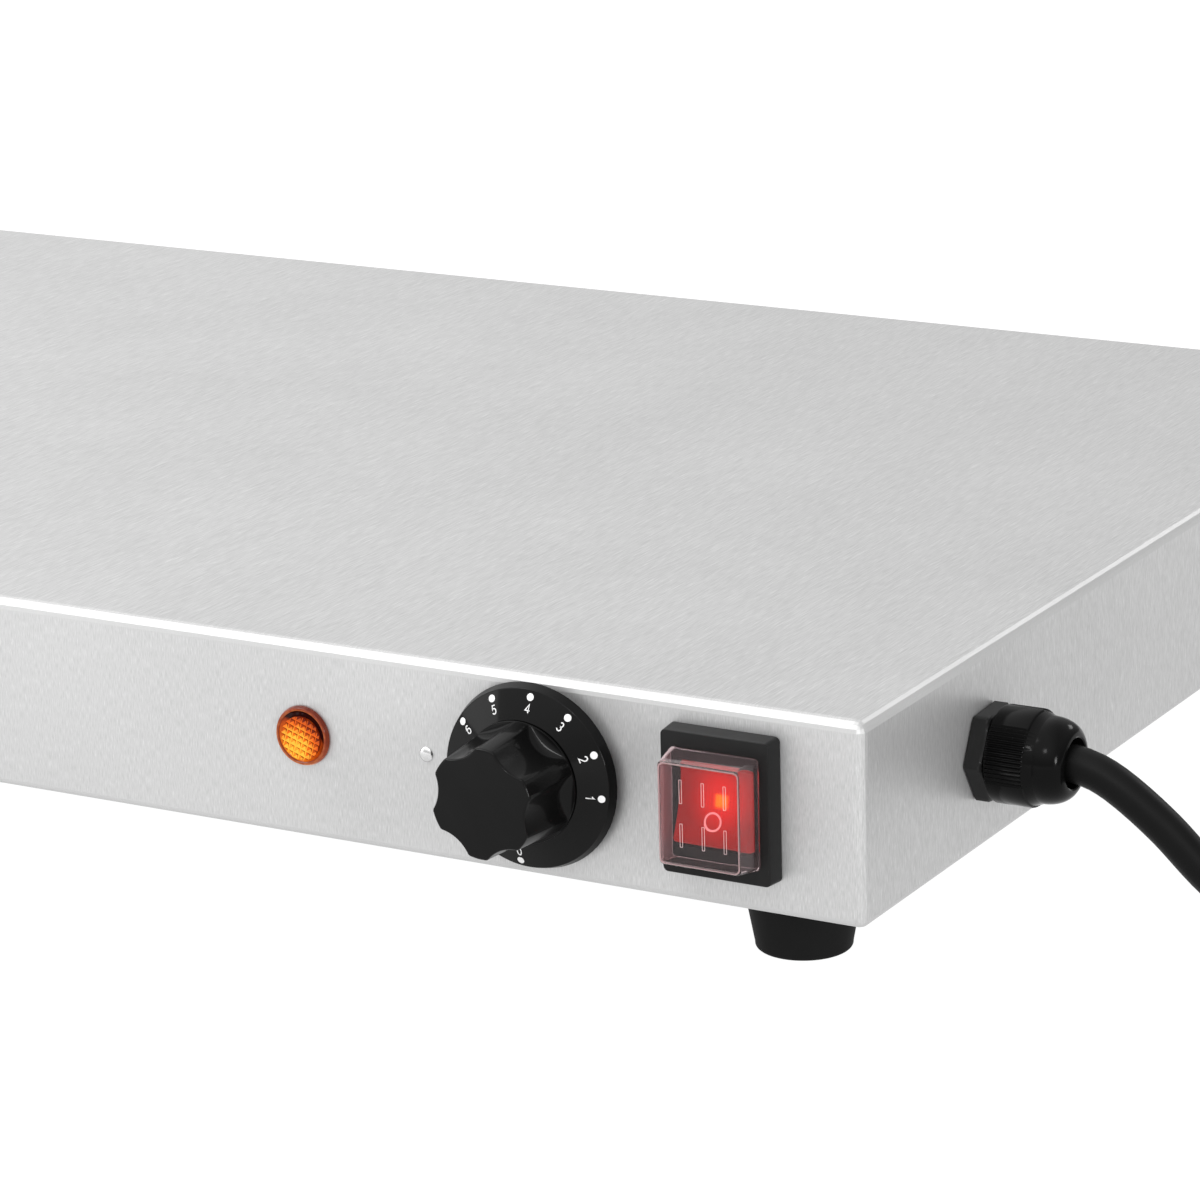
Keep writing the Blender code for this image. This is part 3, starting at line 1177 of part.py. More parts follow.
def cord_pieces():
    """Return the centre lines of the cord's drop, its coil and its tail to the plug."""
    coil_centre = (RIGHT_X + COIL_FROM_SIDE, GLAND_Y + COIL_SETBACK + COIL_RADIUS)
    coil = coil_points(coil_centre)
    start = Vector((RIGHT_X + CORD_START, GLAND_Y, GLAND_Z))
    knots = [start] + [start + Vector(step) for step in CORD_DROP_ROUTE]
    lead_end = coil[0] - Vector((CLEARANCE, 0, 0))
    knots += [lead_end - Vector((3 * CORD_RADIUS, 0, 0)), lead_end]
    tail_start = coil[-1] + Vector((0, CLEARANCE, 0))
    plug_z = PLUG_RADIUS + CLEARANCE
    tail_end = Vector((tail_start.x, tail_start.y + TAIL_RUN, plug_z))
    reach = Vector((0, 2 * CORD_RADIUS, 0))
    tail = [tail_start, tail_start + reach, tail_end - reach, tail_end]
    return smooth_route(knots, 5 * CORD_RADIUS), coil, smooth_route(tail, 5 * CORD_RADIUS)


def make_cord(shop):
    """Supply cord from the gland to the coil, and on to the plug."""
    drop, coil, tail = cord_pieces()
    shop.piece("cord_lead", tube("cord_lead", drop, CORD_RADIUS, 3), "black_rubber")
    shop.piece("cord_coil", tube("cord_coil", coil, CORD_RADIUS, 1), "black_rubber")
    shop.piece("cord_tail", tube("cord_tail", tail, CORD_RADIUS, 3), "black_rubber")
    gap = least_self_gap(coil, CORD_RADIUS)
    print(f"least gap of the coil to itself: {gap * 1000:.2f} mm")
    length = sum((b - a).length for line in (drop, coil, tail) for a, b in zip(line, line[1:]))
    print(f"cord outside the gland: {length:.3f} m")
    make_plug(shop, tail[-1])
    start = -SHEET - CORD_INSIDE
    length = SEAL_START + GLAND_SEAL_LENGTH - start
    core = cylinder("cord_inner", CORD_RADIUS, length, start)
    shop.piece("cord_inner", core, "black_rubber", shop.side, (GLAND_Y, GLAND_HEIGHT, 0))


def make_plug(shop, cord_end):
    """Two-pin earthed plug that lies on the surface behind the coil."""
    neck = PLUG_NECK_LENGTH
    length = PLUG_LENGTH
    edge = PLUG_EDGE
    profile = [(0, length), (PLUG_RADIUS - edge, length), (PLUG_RADIUS, length - edge)]
    profile += [(PLUG_RADIUS, length - 3 * edge), (PLUG_RADIUS - edge, length / 2)]
    profile += [(PLUG_NECK_RADIUS + edge, neck), (PLUG_NECK_RADIUS, neck - edge)]
    profile += [(PLUG_NECK_RADIUS - edge / 2, 0), (0, 0)]
    place = cord_end + Vector((0, CLEARANCE, 0))
    turn = (-math.pi / 2, 0, 0)
    shop.piece("plug_body", turned("plug_body", profile), "black_rubber", location=place, rotation=turn)
    tip = PLUG_PIN_RADIUS / 2
    top = length + CLEARANCE + PLUG_PIN_LENGTH
    profile = [(0, top), (PLUG_PIN_RADIUS - tip, top), (PLUG_PIN_RADIUS, top - tip)]
    profile += [(PLUG_PIN_RADIUS, length + CLEARANCE), (0, length + CLEARANCE)]
    pin = turned("plug_pin", profile, SMALL_STEPS)
    for index, side in enumerate((-1, 1), 1):
        spot = place + Vector((side * PLUG_PIN_SPACING / 2, 0, 0))
        shop.piece(f"plug_pin_{index}", pin, "brass", location=spot, rotation=turn)


def make_earth_nut(shop):
    """Nut on the earth stud in the side panel."""
    base = -SHEET - EARTH_STUD_LENGTH / 2 - EARTH_NUT_HEIGHT
    data = nut_mesh("earth_nut", EARTH_NUT_RADIUS, EARTH_NUT_HEIGHT, EARTH_STUD_RADIUS, base)
    shop.piece("earth_nut", data, "brass", shop.side, (FRONT_Y + EARTH_FROM_FRONT, GLAND_HEIGHT, 0))


def lead_routes():
    """Return the inner leads as a name, a colour and the points they run through."""
    switch_z = PANEL_BASE_Z + CONTROL_HEIGHT
    blade_y = FRONT_Y + HOUSING_DEPTH + CLEARANCE + TERMINAL_LENGTH + CLEARANCE
    left_x = SWITCH_X - TERMINAL_SPACING_X / 2
    right_x = SWITCH_X + TERMINAL_SPACING_X / 2
    high_z = switch_z + TERMINAL_SPACING_Z / 2
    low_z = switch_z - TERMINAL_SPACING_Z / 2
    jacket_x = RIGHT_X - SHEET - CORD_INSIDE - CLEARANCE
    spread = LEAD_SPREAD
    step = TERMINAL_LENGTH
    thermostat_y = FRONT_Y + SHEET + 2 * CLEARANCE + THERMOSTAT_DEPTH
    pin_x = ELEMENT_HALF_RUN + ELEMENT_TAIL + ELEMENT_PIN_LENGTH + CLEARANCE
    rear_run_y = FIRST_RUN_Y + HEATER_DEPTH
    earth_y = FRONT_Y + EARTH_FROM_FRONT
    earth_x = RIGHT_X - SHEET - EARTH_STUD_LENGTH - CLEARANCE
    return [
        ("lead_live_in", "lead_brown", [
            (jacket_x, GLAND_Y - spread, GLAND_Z + spread),
            (jacket_x - spread, GLAND_Y - spread, GLAND_Z + spread),
            (jacket_x - step / 2, GLAND_Y - 1.6 * spread, GLAND_Z + 2 * spread),
            (right_x - spread / 2, blade_y + step, high_z - spread),
            (right_x, blade_y + step / 2, high_z),
            (right_x, blade_y, high_z),
        ]),
        ("lead_neutral_in", "lead_blue", [
            (jacket_x, GLAND_Y + spread, GLAND_Z + spread),
            (jacket_x - spread, GLAND_Y + spread, GLAND_Z + spread),
            (jacket_x - step, GLAND_Y, GLAND_Z),
            (right_x - spread, blade_y + step, low_z + spread),
            (right_x, blade_y + step / 2, low_z),
            (right_x, blade_y, low_z),
        ]),
        ("lead_earth", "lead_earth", [
            (jacket_x, GLAND_Y, GLAND_Z - spread),
            (jacket_x - spread, GLAND_Y, GLAND_Z - spread),
            (jacket_x - 2 * spread, GLAND_Y + spread, GLAND_Z - spread),
            (jacket_x - step / 2, earth_y - step, GLAND_Z - spread),
            (earth_x - step / 2, earth_y, GLAND_Z),
            (earth_x, earth_y, GLAND_Z),
        ]),
        ("lead_live_out", "lead_brown", [
            (left_x, blade_y, low_z),
            (left_x, blade_y + step / 2, low_z),
            (left_x - step, blade_y + step, low_z),
            (DIAL_X + step, blade_y + step, low_z),
            (DIAL_X + step / 2, blade_y, low_z),
            (DIAL_X + step / 2, thermostat_y, low_z),
        ]),
        ("lead_neutral_out", "lead_blue", [
            (left_x, blade_y, high_z),
            (left_x, blade_y + step / 2, high_z),
            (left_x + spread, blade_y + 3 * step, high_z),
            (left_x + 2 * spread, FIRST_RUN_Y + step, high_z - spread),
            (left_x + 2 * spread, rear_run_y - 2 * step, high_z),
            (pin_x + step, rear_run_y - step / 2, ELEMENT_Z - spread),
            (pin_x + step / 2, rear_run_y, ELEMENT_Z),
            (pin_x, rear_run_y, ELEMENT_Z),
        ]),
        ("lead_thermostat_out", "lead_brown", [
            (DIAL_X + 1.5 * step, thermostat_y, high_z),
            (DIAL_X + 1.5 * step, thermostat_y + step / 2, high_z),
            (DIAL_X + 2.2 * step, thermostat_y + 2.2 * step, high_z),
            (DIAL_X + 3.4 * step, thermostat_y + 3 * step, high_z + 2 * spread),
            (pin_x + step, FIRST_RUN_Y - step / 2, ELEMENT_Z - spread / 2),
            (pin_x + step / 2, FIRST_RUN_Y, ELEMENT_Z),
            (pin_x, FIRST_RUN_Y, ELEMENT_Z),
        ]),
    ]


def pilot_lead_routes():
    """Return the two thin leads from the pilot lamp to the thermostat."""
    back_y = FRONT_Y + SHEET + PILOT_BARREL_LENGTH + CLEARANCE
    lamp_z = PANEL_BASE_Z + CONTROL_HEIGHT
    thermostat_y = FRONT_Y + SHEET + 2 * CLEARANCE + THERMOSTAT_DEPTH
    side = DIAL_X - THERMOSTAT_WIDTH / 3
    routes = []
    for label, colour, rise in (("live", "lead_brown", 1), ("neutral", "lead_blue", -1)):
        z = lamp_z + rise * LENS_STEM_RADIUS / 2
        reach = TERMINAL_LENGTH
        routes.append((f"pilot_lead_{label}", colour, [
            (PILOT_X, back_y, z),
            (PILOT_X, back_y + reach / 2, z),
            (PILOT_X + reach, thermostat_y + reach, z),
            (side - reach, thermostat_y + reach, z),
            (side, thermostat_y + reach / 2, z),
            (side, thermostat_y, z),
        ]))
    return routes


def make_leads(shop):
    """Insulated leads between the cord, switch, thermostat, lamp and element."""
    for name, colour, knots in lead_routes() + pilot_lead_routes():
        route = smooth_route(knots, 6 * LEAD_RADIUS)
        shop.piece(name, tube(name, route, LEAD_RADIUS, 1), colour)


def main():
    """Build the whole tray."""
    shop = Workshop()
    make_shell(shop)
    make_base_plate(shop)
    make_feet(shop)
    make_plate_screws(shop)
    make_heating_stack(shop)
    make_pilot_lamp(shop)
    dial_axis = shop.new_empty("dial_axis", (DIAL_X, CONTROL_HEIGHT, 0), (0, 0, 0), shop.front)
    make_grip(shop, dial_axis)
    make_dial_skirt(shop, dial_axis)
    make_thermostat(shop, dial_axis)
    make_switch(shop)
    make_gland(shop)
    make_cord(shop)
    make_earth_nut(shop)
    make_leads(shop)


if __name__ == "__main__":
    main()
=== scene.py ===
"""Looks of an electric food warmer tray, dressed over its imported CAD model.

The folded stainless shell, its base plate and the inner pieces come from the CAD model and get
their finishes here. The controls, the gland, the feet, the cord and the plug are built here in
finer detail and stand for their CAD solids. Lengths are in metres, +Z is up and the front panel
faces -Y.
"""

from __future__ import annotations

import logging
import math
from dataclasses import dataclass, field
from enum import Enum

import bmesh
import bpy
from mathutils import Matrix, Vector


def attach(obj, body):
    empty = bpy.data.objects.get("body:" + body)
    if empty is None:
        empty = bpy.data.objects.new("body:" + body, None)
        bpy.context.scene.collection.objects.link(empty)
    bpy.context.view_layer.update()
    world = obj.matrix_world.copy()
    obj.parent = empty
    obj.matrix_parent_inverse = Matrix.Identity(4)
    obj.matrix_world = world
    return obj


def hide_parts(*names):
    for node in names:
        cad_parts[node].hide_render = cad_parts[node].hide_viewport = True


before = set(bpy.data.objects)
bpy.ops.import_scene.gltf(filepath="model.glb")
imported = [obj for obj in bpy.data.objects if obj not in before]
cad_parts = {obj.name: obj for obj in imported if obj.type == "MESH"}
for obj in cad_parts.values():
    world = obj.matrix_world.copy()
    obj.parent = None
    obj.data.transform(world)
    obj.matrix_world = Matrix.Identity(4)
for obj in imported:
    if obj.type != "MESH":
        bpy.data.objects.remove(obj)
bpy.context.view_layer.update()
LOG = logging.getLogger("food_warmer_tray")

# Points closer than this are one point
MERGE = 1e-7

Outline = list[tuple[float, float]]
Ring = list[tuple[float, float, float]]


class Body(Enum):
    """The bodies that pieces move with."""

    TRAY = "tray"
    DIAL = "dial"
    ROCKER = "rocker"


class Panel(Enum):
    """The two panels that carry fittings, each as the row-frame place of its lower edge."""

    FRONT = ((-0.0131, -0.1855, 0.0216), 0.0)
    SIDE = ((0.2869, 0.0145, 0.0216), 90.0)

    def at(self, across: float, up: float, out: float = 0.0) -> Matrix:
        """Build the matrix of a place on the panel.

        Args:
            across: distance along the panel from its middle.
            up: height above the panel's lower edge.
            out: distance in front of the panel's face.

        Returns:
            A matrix whose local x runs along the panel, y up and z outward.
        """
        corner, heading = self.value
        stand = Matrix.Rotation(math.radians(90), 4, "X")
        turn = Matrix.Rotation(math.radians(heading), 4, "Z")
        return Matrix.Translation(corner) @ turn @ stand @ Matrix.Translation((across, up, out))


def linear(code: str) -> tuple[float, float, float, float]:
    """Turn an sRGB hex colour into linear RGBA.

    Args:
        code: colour such as "#d8d8d6".

    Returns:
        Red, green, blue and an alpha of one.
    """
    shares = [int(code[index:index + 2], 16) / 255 for index in (1, 3, 5)]
    # The sRGB curve has a straight foot below 0.04045 and a power of 2.4 above it
    values = [s / 12.92 if s <= 0.04045 else ((s + 0.055) / 1.055) ** 2.4 for s in shares]
    return (values[0], values[1], values[2], 1.0)


Feed = dict[str | int, object]

# The property that an option sets, by kind of node
OPTION_OF = {
    "Math": "operation", "VectorMath": "operation", "Mix": "data_type",
    "MapRange": "interpolation_type", "TexVoronoi": "feature",
}
# Which output of a Mix node carries a vector and which a colour
VECTOR_OUT, COLOUR_OUT = 1, 2
# Which inputs of a Mix node hold its two floats, vectors and colours
FLOATS, VECTORS, COLOURS = (2, 3), (4, 5), (6, 7)


def feed(node: bpy.types.Node, inputs: Feed) -> None:
    """Fill or link the inputs of a node.

    Args:
        node: the node.
        inputs: values or output sockets by input name or number.
    """
    for name, value in inputs.items():
        if isinstance(value, bpy.types.NodeSocket):
            node.id_data.links.new(value, node.inputs[name])
        else:
            node.inputs[name].default_value = value


def add_node(
    tree: bpy.types.NodeTree, kind: str, inputs: Feed | None = None, output: str | int = 0
) -> bpy.types.NodeSocket:
    """Add a node, set its option, and fill or link its inputs.

    Args:
        tree: node tree that the node goes into.
        kind: Blender's node type without its ShaderNode prefix, with an option after a colon.
        inputs: values or output sockets by input name or number.
        output: name or number of the output that is wanted.

    Returns:
        The output socket.
    """
    name, _, option = kind.partition(":")
    node = tree.nodes.new("ShaderNode" + name)
    if option:
        setattr(node, OPTION_OF[name], option)
    feed(node, inputs or {})
    return node.outputs[output]


def repeats(size_mm: float) -> float:
    """Return the pattern scale that gives features of a size in millimetres."""
    return 1000 / size_mm


class Finish:
    """A surface finish that builds its node material once."""

    label: str

    def material(self) -> bpy.types.Material:
        """Make the finish's material when it is first asked for.

        Returns:
            The material.
        """
        made = bpy.data.materials.get(self.label)
        if made is None:
            made = bpy.data.materials.new(self.label)
            made.use_nodes = True
            self.dress(made.node_tree, made.node_tree.nodes["Principled BSDF"])
        return made

    def dress(self, tree: bpy.types.NodeTree, shader: bpy.types.Node) -> None:
        """Fill the node tree of the material; each finish has its own."""
        raise NotImplementedError


@dataclass(frozen=True)
class BrushedStainless(Finish):
    """Ferritic stainless sheet, belt-brushed.

    The belt leaves short bright and dark strokes. They run from front to back on the top sheet
    and up and down on the walls, and they blur every reflection across their run. The bending
    tool has ironed them out along the bends, and a few deeper scratches catch more light.
    """

    label: str = "brushed_stainless_steel"
    light: str = "#c9c9c9"
    dark: str = "#a8a8a8"
    scratch: str = "#e6e6e6"
    stroke_across_mm: float = 0.25
    stroke_along_mm: float = 2.6
    top_stroke_along_mm: float = 6.5
    cloud_mm: float = 70.0
    cloud_share: float = 0.3
    scratch_share: float = 0.25
    ironed_share: float = 0.8
    roughness: float = 0.46
    roughness_swing: float = 0.14
    depth_mm: float = 0.006
    depth_share: float = 0.35
    spread: float = 0.45
    # The rest of the light leaves the strokes scattered all ways
    metal_share: float = 0.70
    sheen_level: float = 0.2

    def dress(self, tree: bpy.types.NodeTree, shader: bpy.types.Node) -> None:
        """Mix two stroke patterns by the direction that the sheet faces.

        Args:
            tree: node tree of the material.
            shader: its surface shader.
        """
        place = add_node(tree, "TexCoord", output="Object")
        facing = add_node(tree, "NewGeometry", output="Normal")
        upward = add_node(tree, "SeparateXYZ", {"Vector": facing}, "Z")
        flatness = add_node(tree, "Math:ABSOLUTE", {0: upward})
        on_top = add_node(
            tree, "MapRange:SMOOTHSTEP", {"Value": flatness, "From Min": 0.45, "From Max": 0.85}
        )
        across = repeats(self.stroke_across_mm)
        along_wall = repeats(self.stroke_along_mm)
        along_top = repeats(self.top_stroke_along_mm)
        wall, top = (
            add_node(tree, "TexNoise", {
                "Vector": add_node(tree, "Mapping", {"Vector": place, "Scale": scale}),
                "Scale": 1.0, "Detail": 3.0, "Roughness": 0.6,
            })
            for scale in ((across, across, along_wall), (across, along_top, across))
        )
        brushed = add_node(tree, "Mix:FLOAT", {0: on_top, FLOATS[0]: wall, FLOATS[1]: top})
        off_flat = add_node(tree, "Math:PINGPONG", {0: flatness, 1: 0.5})
        ironed = add_node(tree, "MapRange:SMOOTHSTEP", {
            "Value": off_flat, "From Min": 0.02, "From Max": 0.2, "To Max": self.ironed_share,
        })
        stroke = add_node(tree, "Mix:FLOAT", {0: ironed, FLOATS[0]: brushed, FLOATS[1]: 0.5})
        cloud = add_node(
            tree, "TexNoise", {"Vector": place, "Scale": repeats(self.cloud_mm), "Detail": 2.0}
        )
        shade = add_node(tree, "MapRange", {"Value": stroke, "From Min": 0.3, "From Max": 0.7})
        patchy = add_node(
            tree, "Mix:FLOAT", {0: self.cloud_share, FLOATS[0]: shade, FLOATS[1]: cloud}
        )
        toned = add_node(tree, "Mix:RGBA", {
            0: patchy, COLOURS[0]: linear(self.dark), COLOURS[1]: linear(self.light),
        }, COLOUR_OUT)
        scratched = add_node(tree, "MapRange:SMOOTHSTEP", {
            "Value": stroke, "From Min": 0.62, "From Max": 0.74, "To Max": self.scratch_share,
        })
        colour = add_node(
            tree, "Mix:RGBA",
            {0: scratched, COLOURS[0]: toned, COLOURS[1]: linear(self.scratch)}, COLOUR_OUT,
        )
        rough = add_node(tree, "MapRange", {
            "Value": stroke, "From Min": 0.25, "From Max": 0.75,
            "To Min": self.roughness + self.roughness_swing / 2,
            "To Max": self.roughness - self.roughness_swing / 2,
        })
        bump = add_node(tree, "Bump", {
            "Height": stroke, "Strength": self.depth_share, "Distance": self.depth_mm / 1000,
        })
        brushed_way = add_node(tree, "Mix:VECTOR", {
            0: on_top, VECTORS[0]: (0.0, 0.0, 1.0), VECTORS[1]: (0.0, 1.0, 0.0),
        }, VECTOR_OUT)
        across_way = add_node(tree, "VectorMath:CROSS_PRODUCT", {0: facing, 1: brushed_way})
        feed(shader, {
            "Metallic": self.metal_share, "Specular IOR Level": self.sheen_level,
            "Anisotropic": self.spread, "Tangent": across_way, "Base Color": colour,
            "Roughness": rough, "Normal": bump,
        })


@dataclass(frozen=True)
class Metal(Finish):
    """A plain metal surface: plated, milled, drawn or oxidised.

    Fine grain breaks up its reflections, and wide patches show how the plating or the heat took.
    """

    label: str
    light: str
    dark: str
    roughness: float
    grain_mm: float = 0.4
    grain_depth_mm: float = 0.02
    patch_mm: float = 6.0

    def dress(self, tree: bpy.types.NodeTree, shader: bpy.types.Node) -> None:
        """Patches in the colour, grain in the roughness and bump.

        Args:
            tree: node tree of the material.
            shader: its surface shader.
        """
        place = add_node(tree, "TexCoord", output="Object")
        patch = add_node(
            tree, "TexVoronoi:SMOOTH_F1",
            {"Vector": place, "Scale": repeats(self.patch_mm), "Smoothness": 0.4}, "Color",
        )
        level = add_node(tree, "RGBToBW", {"Color": patch})
        grain = add_node(
            tree, "TexNoise", {"Vector": place, "Scale": repeats(self.grain_mm), "Detail": 3.0}
        )
        colour = add_node(tree, "Mix:RGBA", {
            0: level, COLOURS[0]: linear(self.dark), COLOURS[1]: linear(self.light),
        }, COLOUR_OUT)
        rough = add_node(tree, "MapRange", {
            "Value": grain, "To Min": self.roughness - 0.08, "To Max": self.roughness + 0.08,
        })
        bump = add_node(
            tree, "Bump",
            {"Height": grain, "Strength": 0.2, "Distance": self.grain_depth_mm / 1000},
        )
        feed(shader, {"Metallic": 1.0, "Base Color": colour, "Roughness": rough, "Normal": bump})


@dataclass(frozen=True)
class MouldedPolymer(Finish):
    """An opaque moulded plastic or rubber.

    The mould's spark-eroded grain makes its sheen uneven, and its colour drifts a little in broad
    patches. A coat stands for the polished skin of the hard compounds.
    """

    label: str
    colour: str
    lift: str
    roughness: float
    ior: float = 1.50
    sheen_level: float = 0.12
    grain_mm: float = 0.25
    grain_depth_mm: float = 0.01
    sink_mm: float = 7.0
    coat: float = 0.0
    coat_roughness: float = 0.08
    glow: float = 0.0

    def dress(self, tree: bpy.types.NodeTree, shader: bpy.types.Node) -> None:
        """Grain in bump and roughness, and a faint drift of the colour.

        Args:
            tree: node tree of the material.
            shader: its surface shader.
        """
        place = add_node(tree, "TexCoord", output="Object")
        grain = add_node(
            tree, "TexNoise", {"Vector": place, "Scale": repeats(self.grain_mm), "Detail": 2.0}
        )
        drift = add_node(
            tree, "TexNoise", {"Vector": place, "Scale": repeats(self.sink_mm), "Detail": 1.0}
        )
        colour = add_node(tree, "Mix:RGBA", {
            0: drift, COLOURS[0]: linear(self.colour), COLOURS[1]: linear(self.lift),
        }, COLOUR_OUT)
        rough = add_node(tree, "MapRange", {
            "Value": grain, "To Min": self.roughness - 0.06, "To Max": self.roughness + 0.06,
        })
        bump = add_node(
            tree, "Bump",
            {"Height": grain, "Strength": 0.3, "Distance": self.grain_depth_mm / 1000},
        )
        feed(shader, {
            "IOR": self.ior, "Specular IOR Level": self.sheen_level, "Coat Weight": self.coat,
            "Coat Roughness": self.coat_roughness, "Emission Strength": self.glow,
            "Emission Color": colour, "Base Color": colour, "Roughness": rough, "Normal": bump,
        })


@dataclass(frozen=True)
class ClearPolymer(Finish):
    """A clear tinted moulding, polished in the mould.

    It shows what lies behind it in its own tint and catches a sharp highlight on each edge. Its
    drawn walls can be hazy, because the tool drags along them when the part is let go. The wall
    on the left has the least draft and is the haziest.
    """

    label: str
    tint: str
    ior: float
    roughness: float = 0.03
    sheen_level: float = 0.12
    ripple_mm: float = 6.0
    ripple_depth_mm: float = 0.2
    wall_haze: float = 0.0
    other_haze_share: float = 0.08
    left_wall_mm: tuple[float, float] = (-11.2, -10.4)
    # A glow on a clear part paints a highlight
    glow: str = "#000000"
    glow_strength: float = 0.0

    def dress(self, tree: bpy.types.NodeTree, shader: bpy.types.Node) -> None:
        """Transmission with the faint ripple and the haze of a moulded wall.

        Args:
            tree: node tree of the material.
            shader: its surface shader.
        """
        place = add_node(tree, "TexCoord", output="Object")
        normal = add_node(tree, "TexCoord", output="Normal")
        ripple = add_node(
            tree, "TexNoise", {"Vector": place, "Scale": repeats(self.ripple_mm), "Detail": 0.0}
        )
        bump = add_node(
            tree, "Bump",
            {"Height": ripple, "Strength": 0.25, "Distance": self.ripple_depth_mm / 1000},
        )
        outward = add_node(tree, "SeparateXYZ", {"Vector": normal}, "Z")
        facing = add_node(tree, "Math:ABSOLUTE", {0: outward})
        on_wall = add_node(tree, "MapRange:SMOOTHSTEP", {
            "Value": facing, "From Min": 0.3, "From Max": 0.9, "To Min": 1.0, "To Max": 0.0,
        })
        dragged = add_node(tree, "MapRange", {
            "Value": add_node(tree, "SeparateXYZ", {"Vector": place}, "X"),
            "From Min": self.left_wall_mm[0] / 1000, "From Max": self.left_wall_mm[1] / 1000,
            "To Min": self.wall_haze, "To Max": self.wall_haze * self.other_haze_share,
        })
        haze = add_node(tree, "Math:MULTIPLY", {0: on_wall, 1: dragged})
        clear = add_node(tree, "Math:SUBTRACT", {0: 1.0, 1: haze})
        feed(shader, {
            "Base Color": linear(self.tint), "Roughness": self.roughness, "IOR": self.ior,
            "Specular IOR Level": self.sheen_level, "Emission Color": linear(self.glow),
            "Emission Strength": self.glow_strength, "Transmission Weight": clear,
            "Normal": bump,
        })


@dataclass(frozen=True)
class LitRocker(Finish):
    """Translucent red polycarbonate with a neon lamp behind it.

    The lamp shows as a small orange patch in the face, spreads to red around it, and a fine
    grid moulded in the back of the face shows as darker dots.
    """

    label: str = "lit_red_polycarbonate"
    body: str = "#7a0c06"
    glow: str = "#f81408"
    core: str = "#ff7400"
    lamp_mm: tuple[float, float, float] = (1.9, 1.6, 5.0)
    core_mm: tuple[float, float] = (2.0, 1.9)
    core_edge: tuple[float, float] = (0.55, 1.25)
    spread_mm: float = 12.5
    halo_gain: float = 0.92
    halo_base: float = 0.32
    core_gain: float = 1.0
    dot_mm: float = 0.9
    ior: float = 1.586
    roughness: float = 0.28
    sheen_level: float = 0.10
    scatter_share: float = 0.3
    scatter_mm: tuple[float, float, float] = (4.0, 0.6, 0.4)

    def dress(self, tree: bpy.types.NodeTree, shader: bpy.types.Node) -> None:
        """Emission that falls off from the lamp, with a square core.

        Args:
            tree: node tree of the material.
            shader: its surface shader.
        """
        place = add_node(tree, "TexCoord", output="Object")
        lamp = [value / 1000 for value in self.lamp_mm]
        offset = add_node(tree, "VectorMath:SUBTRACT", {0: place, 1: lamp})
        distance = add_node(tree, "VectorMath:LENGTH", {0: offset}, "Value")
        halo = add_node(tree, "MapRange:SMOOTHERSTEP", {
            "Value": distance, "From Min": 0.0, "From Max": self.spread_mm / 1000,
            "To Min": 1.0, "To Max": 0.0,
        })
        sides = []
        for axis, half in zip("XY", self.core_mm):
            away = add_node(
                tree, "Math:ABSOLUTE", {0: add_node(tree, "SeparateXYZ", {"Vector": offset}, axis)}
            )
            sides.append(add_node(tree, "MapRange:SMOOTHSTEP", {
                "Value": away, "From Min": self.core_edge[0] * half / 1000,
                "From Max": self.core_edge[1] * half / 1000, "To Min": 1.0, "To Max": 0.0,
            }))
        core = add_node(tree, "Math:MULTIPLY", {0: sides[0], 1: sides[1]})
        dots = add_node(
            tree, "TexVoronoi", {"Vector": place, "Scale": repeats(self.dot_mm), "Randomness": 0.0}
        )
        dotted = add_node(tree, "MapRange", {
            "Value": dots, "From Min": 0.2, "From Max": 0.6, "To Min": 0.75, "To Max": 1.1,
        })
        hue = add_node(tree, "Mix:RGBA", {
            0: core, COLOURS[0]: linear(self.glow), COLOURS[1]: linear(self.core),
        }, COLOUR_OUT)
        warm = add_node(
            tree, "Math:MULTIPLY_ADD", {0: halo, 1: self.halo_gain, 2: self.halo_base}
        )
        speckled = add_node(tree, "Math:MULTIPLY", {0: warm, 1: dotted})
        power = add_node(tree, "Math:MULTIPLY_ADD", {0: core, 1: self.core_gain, 2: speckled})
        bump = add_node(tree, "Bump", {"Height": dots, "Strength": 0.1, "Distance": 0.0001})
        feed(shader, {
            "Base Color": linear(self.body), "Roughness": self.roughness, "IOR": self.ior,
            "Specular IOR Level": self.sheen_level, "Subsurface Weight": self.scatter_share,
            "Subsurface Radius": [value / 1000 for value in self.scatter_mm],
            "Emission Color": hue, "Emission Strength": power, "Normal": bump,
        })


